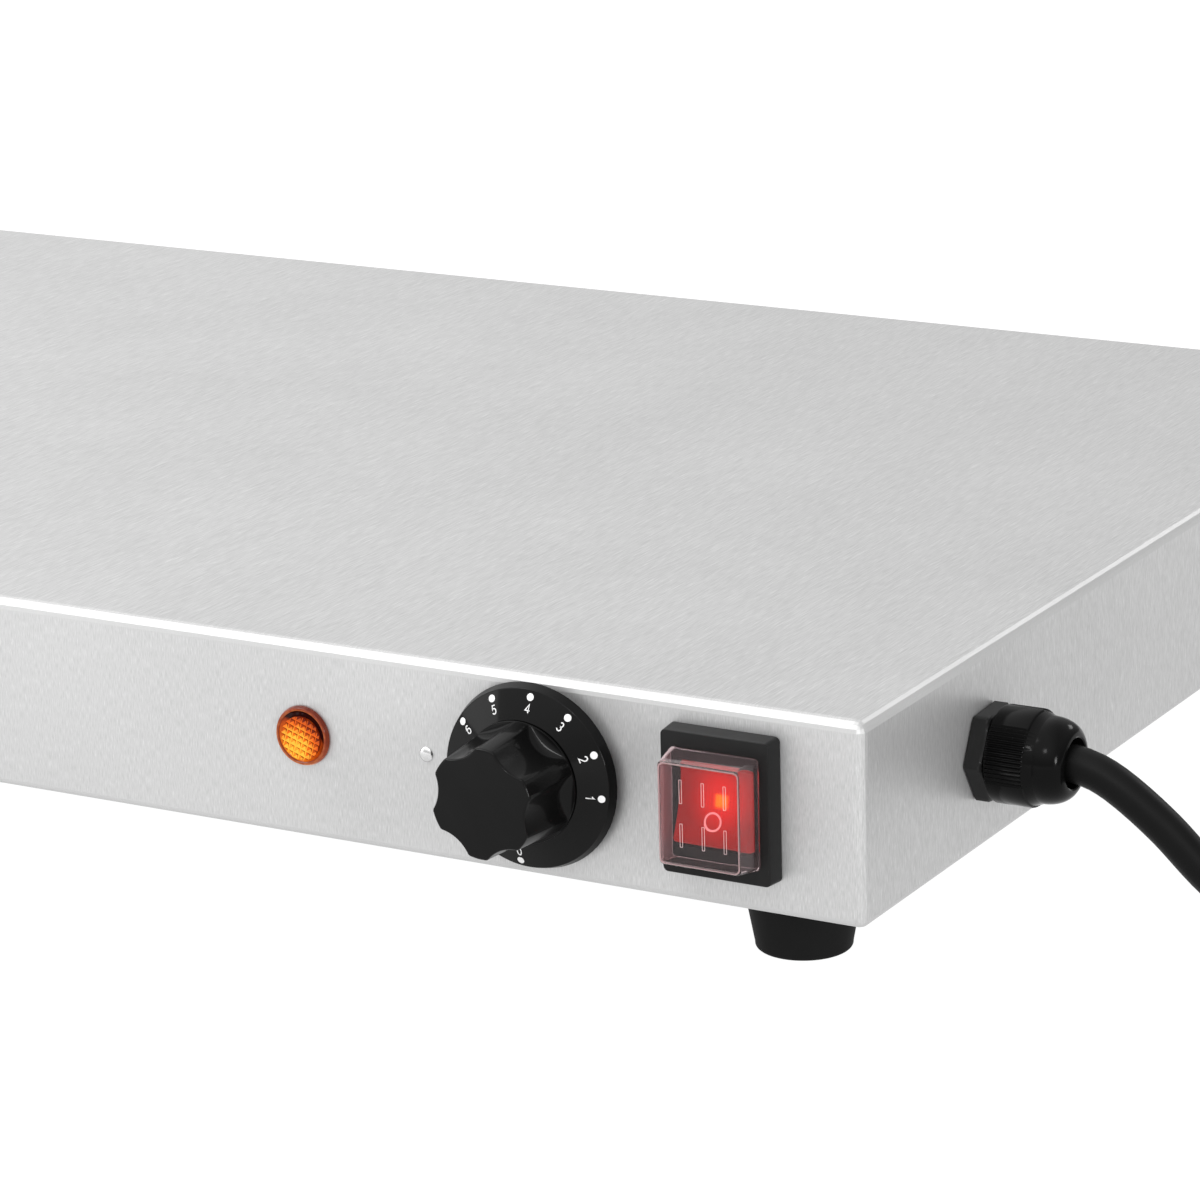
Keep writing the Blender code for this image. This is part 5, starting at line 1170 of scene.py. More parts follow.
@dataclass
class Dial:
    """Thermostat dial: a dished skirt with the printed scale and a six-fluted grip."""

    across: float = 0.2064
    up: float = 0.0285
    # Skirt, from its back to the seat of the grip
    back: float = 0.0026
    rim_radius: float = 0.0251
    rim_wall: float = 0.0018
    face_radius: float = 0.0243
    shoulder: float = 0.0058
    skirt_roll: float = 0.0004
    roll_from_deg: float = 70.0
    roll_to_deg: float = 12.0
    base_radius: float = 0.0165
    crown: float = 0.0087
    seat_drop: float = 0.0006
    seat_gap: float = 0.0002
    hollow_edge: tuple[float, float] = (0.0225, 0.0040)
    hollow_level: float = 0.0069
    bore: float = 0.0074
    # Grip, from its round base to its front
    base_gap: float = 0.0003
    base_roll: float = 0.00025
    flange: float = 0.0099
    flange_roll: float = 0.0001
    run_out: float = 0.0034
    reach: float = 0.0290
    edge: float = 0.0007
    lobe_radius: float = 0.0150
    flute_radius: float = 0.0107
    valley_radius: float = 0.0129
    lobes: int = 6
    lobe_turn_deg: float = 24.0
    lobe_steps: int = 32
    flute_steps: int = 12
    edge_steps: int = 6
    # Scale
    dot_radius: float = 0.0010
    dot_crown: float = 0.93
    dot_ring: float = 0.0225
    numeral_ring: float = 0.0197
    numeral_height: float = 0.0023
    stroke: float = 0.00031
    print_height: float = 0.00003
    highest_mark: int = 7
    highest_mark_deg: float = 174.4
    mark_step_deg: float = 30.0
    off_mark_deg: float = -95.6

    def skirt_mesh(self) -> bpy.types.Mesh:
        """Turn the dished ring with its thin edges rolled.

        Returns:
            The skirt.
        """
        roll = self.skirt_roll
        seat = self.crown - self.seat_drop
        profile = [(self.bore, seat), (self.base_radius - self.seat_gap, seat)]
        profile += [(self.base_radius, self.crown)]
        profile += arc(
            (self.face_radius - roll, self.shoulder - roll), roll,
            self.roll_from_deg, self.roll_to_deg, steps=5,
        )
        profile += [(self.rim_radius, self.back + roll), (self.rim_radius - roll, self.back)]
        profile += [(self.rim_radius - self.rim_wall, self.back), self.hollow_edge]
        profile += [(self.base_radius, self.hollow_level), (self.bore, self.hollow_level)]
        return turned("scale_skirt", profile, steps=160, sharp_deg=30)

    def grip_ring(self, radius: float, flute_share: float, height: float) -> Ring:
        """Cut one section of the grip.

        Args:
            radius: radius at the lobes.
            flute_share: how far the flutes are cut, from zero to one.
            height: distance in front of the panel.

        Returns:
            Points round the section.
        """
        ring = []
        flute_centre = self.valley_radius + self.flute_radius
        pitch = math.tau / self.lobes
        steps = self.lobes * self.lobe_steps
        for index in range(steps):
            angle = math.tau * index / steps
            offset = (angle + pitch / 2) % pitch - pitch / 2
            from_flute = pitch / 2 - abs(offset)
            inside = self.flute_radius ** 2 - (flute_centre * math.sin(from_flute)) ** 2
            reach = radius
            if inside > 0:
                reach = min(reach, flute_centre * math.cos(from_flute) - math.sqrt(inside))
            cut = radius + (reach - radius) * flute_share
            turn = angle + math.radians(self.lobe_turn_deg)
            ring.append((cut * math.cos(turn), cut * math.sin(turn), height))
        return ring

    def grip_mesh(self) -> bpy.types.Mesh:
        """Loft the fluted grip on its round base, with a rolled front edge.

        Returns:
            The grip.
        """
        base = self.crown + self.base_gap
        foot = (
            (self.base_radius - self.base_roll, base),
            (self.base_radius, base + self.base_roll),
            (self.base_radius, self.flange - 2 * self.flange_roll),
            (self.base_radius - self.flange_roll, self.flange),
        )
        rings = [self.grip_ring(radius, 0, height) for radius, height in foot]
        taper = (self.base_radius - self.lobe_radius) / (self.reach - self.flange)
        for index in range(1, self.flute_steps + 1):
            share = (index / self.flute_steps) ** 2
            height = self.flange + self.run_out * share
            radius = self.base_radius - taper * (height - self.flange)
            rings.append(self.grip_ring(radius, math.sqrt(1 - (1 - share) ** 2), height))
        for angle in quarter_turn(self.edge_steps):
            height = self.reach - self.edge * (1 - math.sin(angle))
            scale = 1 - self.edge * (1 - math.cos(angle)) / self.lobe_radius
            ring = self.grip_ring(self.lobe_radius, 1, height)
            rings.append([(x * scale, y * scale, z) for x, y, z in ring])
        return lofted("fluted_grip", rings, sharp_deg=24)

    def on_scale(self, angle_deg: float, ring: float) -> Matrix:
        """Find the place of a mark on the skirt's cone, its top outward.

        Args:
            angle_deg: angle seen from the front, anticlockwise from the right.
            ring: distance from the dial's axis.

        Returns:
            A matrix in the dial's own frame.
        """
        fall = (self.crown - self.shoulder) / (self.face_radius - self.base_radius)
        level = self.crown - (ring - self.base_radius) * fall
        turn = Matrix.Rotation(math.radians(angle_deg - 90), 4, "Z")
        tilt = Matrix.Rotation(-math.atan(fall), 4, "X")
        return turn @ Matrix.Translation((0, ring, level)) @ tilt

    def numeral_mesh(self, glyph: str) -> bpy.types.Mesh:
        """Build a printed numeral, centred and of the scale's height.

        Args:
            glyph: the numeral.

        Returns:
            A thin raised mesh of its strokes.
        """
        bm = bmesh.new()
        half = self.stroke / 2
        rise = Vector((0, 0, self.print_height))
        middle = Vector((*NUMERAL_MIDDLE, 0))
        for stroke in NUMERALS[glyph]:
            points = [(Vector((*place, 0)) - middle) * self.numeral_height for place in stroke]
            rows = []
            for index, point in enumerate(points):
                arriving = (point - points[max(index - 1, 0)]).normalized()
                leaving = (points[min(index + 1, len(points) - 1)] - point).normalized()
                way = (arriving + leaving).normalized()
                square = max(0.5, way.dot(leaving if leaving.length else arriving))
                side = Vector((-way.y, way.x, 0)) * half / square
                corners = (point - side, point - side + rise, point + side + rise, point + side)
                rows.append([bm.verts.new(corner) for corner in corners])
            for lower, upper in zip(rows, rows[1:]):
                for index in range(4):
                    after = (index + 1) % 4
                    bm.faces.new((lower[index], lower[after], upper[after], upper[index]))
            bm.faces.new(rows[0])
            bm.faces.new(rows[-1])
        return finished(bm, "scale_numeral")

    def dot_mesh(self) -> bpy.types.Mesh:
        """Turn a printed dot with a soft edge.

        Returns:
            The dot.
        """
        top = 2 * self.print_height
        profile = [(0, top), (self.dot_radius * self.dot_crown, top), (self.dot_radius, 0), (0, 0)]
        return turned("scale_dot", profile, steps=40)

    def build(self, bench: Workbench) -> None:
        """Add the skirt, the grip and the scale.

        Args:
            bench: the bench that adds the pieces.
        """
        axis = Panel.FRONT.at(self.across, self.up)
        bench.add("scale_skirt", self.skirt_mesh(), PHENOLIC, axis, Body.DIAL, ("dial_skirt",))
        bench.add("fluted_grip", self.grip_mesh(), PHENOLIC, axis, Body.DIAL, ("knob_grip",))
        marks = [(self.off_mark_deg, "0")]
        marks += [
            (self.highest_mark_deg - self.mark_step_deg * index, str(self.highest_mark - index))
            for index in range(self.highest_mark)
        ]
        for angle, glyph in marks:
            for kind, mesh, ring, lift in (
                ("dot", self.dot_mesh(), self.dot_ring, self.print_height),
                ("numeral", self.numeral_mesh(glyph), self.numeral_ring, 2 * self.print_height),
            ):
                place = axis @ self.on_scale(angle, ring) @ Matrix.Translation((0, 0, lift))
                bench.add(f"scale_{kind}_{glyph}", mesh, SCALE_INK, place, Body.DIAL)
        bench.dress(ZINC, "thermostat_shaft")


@dataclass
class CoveredSwitch:
    """Rocker switch: bezel, clear splash cover and lit rocker."""

    across: float = 0.2614
    up: float = 0.0285
    seat: float = 0.0003
    # Bezel
    bezel: tuple[float, float] = (0.0314, 0.0386)
    bezel_depth: float = 0.0060
    bezel_corner: float = 0.0014
    bezel_roll: float = 0.0003
    bezel_draft: float = 0.0006
    bezel_side_deg: float = 5.0
    mouth_flare: float = 1.6
    mouth_corner: float = 0.0010
    opening: tuple[float, float] = (0.0214, 0.0224)
    opening_corner: float = 0.0006
    # Splash cover
    cover_base: tuple[float, float] = (0.0256, 0.0298)
    cover_top: tuple[float, float] = (0.0233, 0.0274)
    cover_rise: float = 0.0085
    cover_wall: float = 0.0006
    cover_corner: float = 0.0013
    outer_roll: float = 0.0006
    outer_corner_fall: float = 0.5
    inner_roll: float = 0.0002
    inner_corner_fall: float = 0.2
    inner_corner_share: float = 0.6
    roll_share: float = 0.98
    # Inset and lift of the bead round the cover's front, which carries a painted edge highlight
    bead_section: tuple[tuple[float, float], ...] = (
        (0.0003, -0.00018), (0.0003, 0.00003), (0.00042, 0.00003), (0.0006, -0.0001),
    )
    # Slots moulded on the cover's front
    mark_size: tuple[float, float] = (0.0008, 0.0063)
    mark_corner: float = 0.00016
    mark_lift: float = 0.00001
    mark_line: float = 0.00010
    mark_columns: tuple[float, ...] = (-0.0050, 0.0013, 0.0075)
    mark_rows: tuple[float, ...] = (0.0064, -0.0052)
    # Rocker
    rocker_width: float = 0.0205
    rocker_roll: float = 0.0005
    axis_out: float = 0.0040
    tilt_deg: float = 13.0
    tip_radius: float = 0.0106
    tip_deg: float = 19.5
    tip_gap: float = 0.0003
    tip_roll_deg: float = 3.0
    wrap_deg: float = 16.0
    dish: float = 0.0009
    face_steps: int = 24
    # Printed off ring
    ring_radius: float = 0.00225
    ring_stroke: float = 0.00052
    ring_lift: tuple[float, float] = (0.00003, 0.00008)
    ring_drop: float = 0.0040
    ring_steps: int = 72

    def frame_rings(self, sections: list[tuple[float, ...]]) -> list[Ring]:
        """Turn sections of a frame into rings.

        Args:
            sections: width, height, corner radius and level of each.

        Returns:
            A rounded rectangle for each section.
        """
        return [
            [(x, y, level) for x, y in rounded_rectangle(width, height, corner)]
            for width, height, corner, level in sections
        ]

    def bezel_mesh(self) -> bpy.types.Mesh:
        """Loft the bezel as one closed frame with rolled edges.

        Returns:
            The frame round the opening.
        """
        width, height = self.bezel
        inner_width, inner_height = self.opening
        deep = self.bezel_depth
        corner = self.bezel_corner
        roll = self.bezel_roll
        mouth = self.mouth_flare * roll
        sections = [(width, height, corner, self.seat)]
        for x, y in arc((0, 0), roll, self.bezel_side_deg, 90, steps=5):
            inset = 2 * (roll - x) + self.bezel_draft
            sections.append(
                (width - inset, height - inset, corner - (roll - x) / 2, deep - roll + y)
            )
        sections += [
            (inner_width + mouth, inner_height + mouth, self.mouth_corner, deep),
            (inner_width, inner_height, self.opening_corner, deep - roll),
            (inner_width, inner_height, self.opening_corner, self.seat),
        ]
        return lofted("switch_frame", self.frame_rings(sections), closed=True, sharp_deg=40)

    def cover_section(
        self, share: float, inset: float, corner: float, level: float
    ) -> tuple[float, ...]:
        """Size one section of the cover's tapered walls.

        Args:
            share: how far up the taper it lies, from zero to one.
            inset: how far inside the outer skin it lies.
            corner: radius of its corners.
            level: its height.

        Returns:
            Its width, height, corner radius and level.
        """
        width, height = (
            low + (high - low) * share - 2 * inset
            for low, high in zip(self.cover_base, self.cover_top)
        )
        return (width, height, corner, level)

    def cover_mesh(self) -> bpy.types.Mesh:
        """Build the hollow clear cover with rounded edges inside and out.

        Returns:
            The cover as one closed skin, open toward the bezel.
        """
        base = self.bezel_depth + self.seat
        top = base + self.cover_rise
        wall = self.cover_wall
        outer = [self.cover_section(0, 0, self.cover_corner, base)]
        for angle in quarter_turn(steps=6):
            inset = self.outer_roll * (1 - math.cos(angle))
            level = top - self.outer_roll * (1 - math.sin(angle))
            corner = self.cover_corner - inset * self.outer_corner_fall
            outer.append(self.cover_section(self.roll_share, inset, corner, level))
        inner_corner = self.cover_corner - self.inner_corner_share * wall
        inner = []
        for angle in reversed(quarter_turn(steps=6)):
            inset = wall + self.inner_roll * (1 - math.cos(angle))
            level = top - wall - self.inner_roll * (1 - math.sin(angle))
            corner = inner_corner - inset * self.inner_corner_fall
            inner.append(self.cover_section(self.roll_share, inset, corner, level))
        inner.append(self.cover_section(0, wall, inner_corner, base))
        bm = bmesh.new()
        skins = [
            [[bm.verts.new(point) for point in ring] for ring in self.frame_rings(sections)]
            for sections in (outer, inner)
        ]
        joins = [pair for rows in skins for pair in zip(rows, rows[1:])]
        joins.append((skins[0][0], skins[1][-1]))
        for lower, upper in joins:
            for index in range(len(lower)):
                after = (index + 1) % len(lower)
                bm.faces.new((lower[index], lower[after], upper[after], upper[index]))
        bm.faces.new(skins[0][-1])
        bm.faces.new(skins[1][0])
        return finished(bm, "splash_cover", sharp_deg=40)

    def edge_mesh(self) -> bpy.types.Mesh:
        """Loft the thin bead round the cover's front, which carries a painted highlight of the
        moulded edge.

        Returns:
            The bead.
        """
        level = self.bezel_depth + self.seat + self.cover_rise
        width, height = self.cover_top
        sections = [
            (width - 2 * inset, height - 2 * inset, self.cover_corner, level + lift)
            for inset, lift in self.bead_section
        ]
        return lofted("cover_edge_highlight", self.frame_rings(sections), closed=True, sharp_deg=40)

    def mark_mesh(self, column: float, row: float) -> bpy.types.Mesh:
        """Loft one moulded slot outline on the cover's front.

        Args:
            column: its middle across the cover.
            row: its middle up the cover.

        Returns:
            A thin raised outline.
        """
        low = self.bezel_depth + self.seat + self.cover_rise + self.mark_lift
        width, height = self.mark_size
        line = self.mark_line
        rings = []
        for inset, level in ((0.0, low), (0.0, low + line), (line, low + line), (line, low)):
            size = (width - 2 * inset, height - 2 * inset)
            outline = rounded_rectangle(*size, self.mark_corner, steps=3)
            rings.append([(column + x, row + y, level) for x, y in outline])
        return lofted("cover_mark", rings, closed=True, sharp_deg=40)

    def face_level(self, along: float) -> float:
        """Find the height of the rocker's dished face above its axis.

        Args:
            along: distance up the face from its middle.

        Returns:
            The height.
        """
        half = self.tip_radius * math.cos(math.radians(self.tip_deg))
        tip = self.tip_radius * math.sin(math.radians(self.tip_deg))
        curve = (half ** 2 + self.dish ** 2) / (2 * self.dish)
        return tip - self.dish + curve - math.sqrt(curve ** 2 - along ** 2)

    def rocker_mesh(self) -> bpy.types.Mesh:
        """Loft the rocker with a dished face and rolled side edges.

        Returns:
            The rocker, its pivot along x.
        """
        tip = self.tip_deg
        half = self.tip_radius * math.cos(math.radians(tip))
        roll = self.tip_roll_deg
        outline = arc((0, 0), self.tip_radius, -self.wrap_deg, tip - roll, steps=8)
        for index in range(self.face_steps + 1):
            along = (half - self.tip_gap) * (1 - 2 * index / self.face_steps)
            outline.append((along, self.face_level(along)))
        outline += arc((0, 0), self.tip_radius, 180 + roll - tip, 180 + self.wrap_deg, steps=8)
        rings = []
        for angle in quarter_turn(steps=5):
            scale = 1 - self.rocker_roll * (1 - math.sin(angle)) / self.tip_radius
            x = self.rocker_roll * (1 - math.cos(angle)) - self.rocker_width / 2
            rings.append([(x, a * scale, b * scale) for a, b in outline])
        rings += [[(-x, y, z) for x, y, z in ring] for ring in reversed(rings)]
        return lofted("lit_rocker", rings, sharp_deg=40)

    def ring_mesh(self) -> bpy.types.Mesh:
        """Loft the printed off ring, laid on the dished face.

        Returns:
            The ring, in the rocker's own frame.
        """
        half = self.ring_stroke / 2
        low, high = self.ring_lift
        last = 360 - 360 / self.ring_steps
        rings = []
        for offset, lift in ((half, low), (half, high), (-half, high), (-half, low)):
            reach = self.ring_radius + offset
            outline = arc((0, -self.ring_drop), reach, 0, last, self.ring_steps - 1)
            rings.append([(x, y, self.face_level(y) + lift) for x, y in outline])
        return lofted("off_ring", rings, closed=True, sharp_deg=50)

    def build(self, bench: Workbench) -> None:
        """Add the bezel, the cover, the rocker and its marks.

        Args:
            bench: the bench that adds the pieces.
        """
        place = Panel.FRONT.at(self.across, self.up)
        axis = Panel.FRONT.at(self.across, self.up, self.axis_out)
        tilted = axis @ Matrix.Rotation(math.radians(-self.tilt_deg), 4, "X")
        bench.add("switch_frame", self.bezel_mesh(), NYLON, place, stands_for=("switch_bezel",))
        bench.add("splash_cover", self.cover_mesh(), COVER_CLEAR, place, stands_for=("switch_cover",))
        # The bead and the slot outlines glow with a painted highlight
        bench.add("cover_edge_highlight", self.edge_mesh(), PAINTED_HIGHLIGHT_CLEAR, place)
        marks = [(column, row) for row in self.mark_rows for column in self.mark_columns]
        for index, (column, row) in enumerate(marks, 1):
            bench.add(f"cover_mark_{index}", self.mark_mesh(column, row), PAINTED_HIGHLIGHT_CLEAR, place)
        bench.add("lit_rocker", self.rocker_mesh(), LIT_RED, tilted, Body.ROCKER, ("switch_rocker",))
        bench.add("off_ring", self.ring_mesh(), ROCKER_INK, tilted, Body.ROCKER)
        bench.dress(NYLON, "switch_housing")
        bench.dress(BRASS, *(f"switch_terminal_{index}" for index in (1, 2, 3, 4)))


@dataclass
class CableGland:
    """Hexagon body and dome nut with ribbed sectors."""

    across: float = -0.1297
    up: float = 0.0264
    seat: float = 0.0003
    bore_radius: float = 0.0053
    # Hexagon
    hex_radius: float = 0.0134
    hex_turn_deg: float = 2.8
    hex_length: float = 0.0052
    hex_steps: int = 96
    hex_face_inset: float = 0.0004
    # Its back edge: below the corners, inside the flats, above the seat
    hex_back: tuple[float, float, float] = (0.0003, 0.0002, 0.0002)
    # Its turned front corners: below the corners, inside the flats, behind the end
    hex_front: tuple[tuple[float, float, float], ...] = (
        (0.0, 0.0, 0.0010), (0.0005, 0.0, 0.0006), (0.0012, 0.0001, 0.0001),
    )
    # Dome nut
    nut_radius: float = 0.01305
    nut_start: float = 0.0055
    nut_length: float = 0.0110
    nut_bore: float = 0.0102
    shoulder_radius: float = 0.0116
    dome_start: float = 0.0189
    dome_step: float = 0.0002
    dome_length: float = 0.0073
    mouth_radius: float = 0.0068
    lip: float = 0.0004
    mouth_depth: float = 0.0060
    # Rolled mouth: inside its radius, behind the front
    mouth_roll: tuple[tuple[float, float], ...] = ((0.0, 0.0002), (0.0004, 0.0016), (0.0004, 0.0035))
    # Ribs
    ribs: int = 14
    rib_depth: float = 0.0006
    rib_steps: int = 8
    rib_sharpness: float = 0.7
    rib_span_deg: float = 74.0
    rib_turn_deg: float = 16.0
    sectors: int = 3
    plain_steps: int = 16
    # Ends of the ribs, in rib depths: below the radius, groove, distance from the nut's edge
    rib_back: tuple[tuple[float, float, float], ...] = (
        (1.2, 0.0, 0.0), (0.3, 0.5, 0.5), (0.0, 1.0, 1.2),
    )
    rib_front: tuple[tuple[float, float, float], ...] = (
        (0.0, 1.0, 1.2), (0.3, 0.5, 0.4), (1.1, 0.0, 0.0),
    )

    def hexagon_section(self, limit: float, inset: float, level: float) -> Ring:
        """Cut one section of the hexagon.

        Args:
            limit: radius that its corners are turned down to.
            inset: how far inside the hexagon it lies.
            level: its height.

        Returns:
            Points round the section.
        """
        flat = self.hex_radius * math.cos(math.pi / 6)
        turn = math.radians(self.hex_turn_deg)
        ring = []
        for index in range(self.hex_steps):
            angle = math.tau * index / self.hex_steps
            within = (angle - turn) % (math.pi / 3) - math.pi / 6
            reach = min(flat / math.cos(within), limit) - inset
            ring.append((reach * math.cos(angle), reach * math.sin(angle), level))
        return ring

    def hexagon_mesh(self) -> bpy.types.Mesh:
        """Loft the hexagon with its round-turned front corners, open for the cable.

        Returns:
            The hexagon.
        """
        crown = self.hex_radius
        flat = crown * math.cos(math.pi / 6)
        end = self.hex_length
        cut, inset, rise = self.hex_back
        sections = [(self.bore_radius, 0, self.seat), (crown - cut, inset, self.seat)]
        sections += [(crown, 0, self.seat + rise)]
        sections += [(crown - cut, inset, end - drop) for cut, inset, drop in self.hex_front]
        sections += [(flat - self.hex_face_inset, 0, end), (self.bore_radius, 0, end)]
        rings = [self.hexagon_section(*section) for section in sections]
        return lofted("gland_hexagon", rings, closed=True, sharp_deg=25)

    def nut_section(self, radius: float, rib_depth: float, level: float) -> Ring:
        """Cut one section of the nut, ribbed in sectors and plain between.

        Args:
            radius: radius over the ribs.
            rib_depth: depth of the grooves between them.
            level: its height.

        Returns:
            Points round the section.
        """
        ring = []
        sector = 360 / self.sectors
        gap = sector - self.rib_span_deg
        steps = self.ribs * self.rib_steps
        for index in range(self.sectors):
            start = 180 - self.rib_turn_deg + sector * index - self.rib_span_deg / 2
            for step in range(steps + 1):
                angle = math.radians(start + self.rib_span_deg * step / steps)
                wave = (1 - math.cos(math.tau * step / self.rib_steps)) / 2
                reach = radius - rib_depth * wave ** self.rib_sharpness
                ring.append((reach * math.cos(angle), reach * math.sin(angle), level))
            for step in range(1, self.plain_steps):
                angle = math.radians(start + self.rib_span_deg + gap * step / self.plain_steps)
                ring.append((radius * math.cos(angle), radius * math.sin(angle), level))
        return ring

    def nut_mesh(self) -> bpy.types.Mesh:
        """Loft the dome nut as one closed skin with a rolled mouth.

        Returns:
            The nut, open for the cable.
        """
        start = self.nut_start
        end = start + self.nut_length
        rib = self.rib_depth
        radius = self.nut_radius
        mouth = self.mouth_radius
        front = self.dome_start + self.dome_length
        sections = [(self.nut_bore, 0, start)]
        for ends, edge, inward in ((self.rib_back, start, 1), (self.rib_front, end, -1)):
            for cut, groove, away in ends:
                sections.append((radius - rib * cut, rib * groove, edge + inward * rib * away))
        sections += [(self.shoulder_radius, 0, self.dome_start - self.dome_step)]
        for angle in quarter_turn(steps=14):
            drop = (self.shoulder_radius - mouth - self.lip) * (1 - math.cos(angle))
            level = self.dome_start + self.dome_length * math.sin(angle)
            sections.append((self.shoulder_radius - drop, 0, level))
        sections += [(mouth - cut, 0, front - drop) for cut, drop in self.mouth_roll]
        sections += [(self.nut_bore, 0, front - self.mouth_depth)]
        rings = [self.nut_section(*section) for section in sections]
        return lofted("ribbed_dome_nut", rings, closed=True, sharp_deg=28)

    def build(self, bench: Workbench) -> None:
        """Add the hexagon, the nut and dress the seal and locknut.

        Args:
            bench: the bench that adds the pieces.
        """
        place = Panel.SIDE.at(self.across, self.up)
        bench.add("gland_hexagon", self.hexagon_mesh(), NYLON, place, stands_for=("gland_body",))
        bench.add("ribbed_dome_nut", self.nut_mesh(), GLOSSY_NYLON, place, stands_for=("gland_nut",))
        bench.dress(FOOT_RUBBER, "gland_seal")
        bench.dress(NYLON, "gland_locknut")


@dataclass
class SupplyCord:
    """The supply cord: out of the gland, down to the floor, coiled, and on to its plug."""

    radius: float = 0.0050
    length: float = 1.621
    rest: float = 0.0053
    butt_gap: float = 0.0003
    point_share: float = 0.6
    bevel_steps: int = 6
    # From the gland down to the floor, as steps from the start inside the gland
    exit_place: tuple[float, float, float] = (0.3131, -0.1152, 0.0480)
    start_place: tuple[float, float, float] = (0.3082, -0.1152, 0.0480)
    drop: tuple[tuple[float, float, float], ...] = (
        (0.0040, 0.0000, 0.0000),
        (0.0110, 0.0000, -0.0016),
        (0.0190, 0.0000, -0.0058),
        (0.0300, 0.0004, -0.0142),
        (0.0430, 0.0012, -0.0264),
        (0.0580, 0.0024, -0.0364),
        (0.0760, 0.0034, -0.0416),
        (0.0900, 0.0039, -0.0426),
    )
    # Coil
    coil_centre: tuple[float, float] = (0.4769, -0.0332)
    coil_radius: float = 0.0780
    gap: float = 0.0010
    loops_in: float = 1.5
    loop_up: float = 0.5
    loops_out: float = 1.25
    points_per_loop: int = 40
    tail_run: float = 0.0500
    # Plug: below its radius, behind its face
    plug_radius: float = 0.0185
    plug_length: float = 0.0400
    plug_head: tuple[tuple[float, float], ...] = (
        (0.0020, 0.0), (0.0004, 0.0008), (0.0, 0.0022), (0.0, 0.0100), (0.0008, 0.0110),
    )
    # Ridges of its grip: the first one, the step to the next, and their shape
    plug_ridges: int = 4
    ridge_start: tuple[float, float] = (0.0010, 0.0120)
    ridge_step: tuple[float, float] = (0.0018, 0.0030)
    ridge_section: tuple[tuple[float, float], ...] = ((0.0, 0.0), (0.0006, 0.0012), (0.0006, 0.0018))
    # Grooved neck
    neck_radius: float = 0.0070
    neck_length: float = 0.0120
    neck_shoulder: tuple[tuple[float, float], ...] = ((-0.0024, -0.0005), (0.0, 0.0012))
    neck_end: float = 0.0010
    neck_grooves: int = 3
    groove_start: float = 0.0030
    groove_step: tuple[float, float] = (0.0001, 0.0028)
    groove_depth: float = 0.0009
    groove_edges: tuple[float, ...] = (0.0, 0.0004, 0.0012, 0.0016)

    def coil(self) -> list[Vector]:
        """Lay the coil: in, up a layer over half a turn, and out again.

        Returns:
            Its points, with one more in line with each end.
        """
        pitch = 2 * self.radius + self.gap
        inner = self.coil_radius - pitch * self.loops_in
        total = self.loops_in + self.loop_up + self.loops_out
        count = round(total * self.points_per_loop)
        points = []
        for index in range(count + 1):
            turns = total * index / count
            if turns <= self.loops_in:
                reach = self.coil_radius - pitch * turns
                level = self.rest
            elif turns <= self.loops_in + self.loop_up:
                share = (turns - self.loops_in) / self.loop_up
                reach = inner - pitch * min(share, 1 - share) / 2
                level = self.rest + pitch * (1 - math.cos(math.pi * share)) / 2
            else:
                reach = inner + pitch * (turns - self.loops_in - self.loop_up)
                level = self.rest + pitch
            angle = math.tau * turns - math.pi / 2
            x = self.coil_centre[0] + reach * math.cos(angle)
            y = self.coil_centre[1] + reach * math.sin(angle)
            points.append(Vector((x, y, level)))
        lead_in = points[0] - Vector((2 * self.radius, 0, 0))
        lead_out = points[-1] + Vector((0, 2 * self.radius, 0))
        return [lead_in] + points + [lead_out]

    def route(self) -> list[Vector]:
        """Lay the whole centre line from the gland to the plug.

        Returns:
            Its points.
        """
        coil = self.coil()
        start = Vector(self.start_place)
        knots = [start] + [start + Vector(step) for step in self.drop]
        lead_end = coil[0] - Vector((self.butt_gap, 0, 0))
        knots += [lead_end - Vector((3 * self.radius, 0, 0)), lead_end]
        tail_start = coil[-1] + Vector((0, self.butt_gap, 0))
        plug_axis = self.plug_radius + self.butt_gap
        tail_end = Vector((tail_start.x, tail_start.y + self.tail_run, plug_axis))
        reach = Vector((0, 2 * self.radius, 0))
        tail = [tail_start, tail_start + reach, tail_end - reach, tail_end]
        spacing = self.point_share * self.radius
        return smooth_route(knots, spacing) + coil + smooth_route(tail, spacing)

    def cord_curve(self) -> bpy.types.Curve:
        """Draw the cord as one round curve.

        Returns:
            The curve.
        """
        curve = bpy.data.curves.new("supply_cord", "CURVE")
        curve.dimensions = "3D"
        curve.bevel_depth = self.radius
        curve.bevel_resolution = self.bevel_steps
        curve.use_fill_caps = True
        route = self.route()
        spline = curve.splines.new("POLY")
        spline.points.add(len(route) - 1)
        for point, place in zip(spline.points, route):
            point.co = (*place, 1)
        spline.use_smooth = True
        return curve

    def plug_mesh(self) -> bpy.types.Mesh:
        """Turn the round plug with its ridged grip and stepped neck.

        Returns:
            The plug, its neck at the origin.
        """
        tip = self.plug_length
        radius = self.plug_radius
        profile = [(0, tip)]
        profile += [(radius - inset, tip - drop) for inset, drop in self.plug_head]
        for index in range(self.plug_ridges):
            outer = radius - self.ridge_start[0] - self.ridge_step[0] * index
            level = tip - self.ridge_start[1] - self.ridge_step[1] * index
            profile += [(outer - inset, level - drop) for inset, drop in self.ridge_section]
        neck = self.neck_radius
        top = self.neck_length
        profile += [(neck - inset, top - drop) for inset, drop in self.neck_shoulder]
        inner = neck - self.groove_depth
        for index in range(self.neck_grooves):
            outer = neck - self.groove_step[0] * index
            level = top - self.groove_start - self.groove_step[1] * index
            reaches = (outer, inner, inner, outer)
            profile += [(reach, level - drop) for reach, drop in zip(reaches, self.groove_edges)]
        profile += [(neck - self.neck_end, 0), (0, 0)]
        return turned("round_plug", profile, sharp_deg=32)

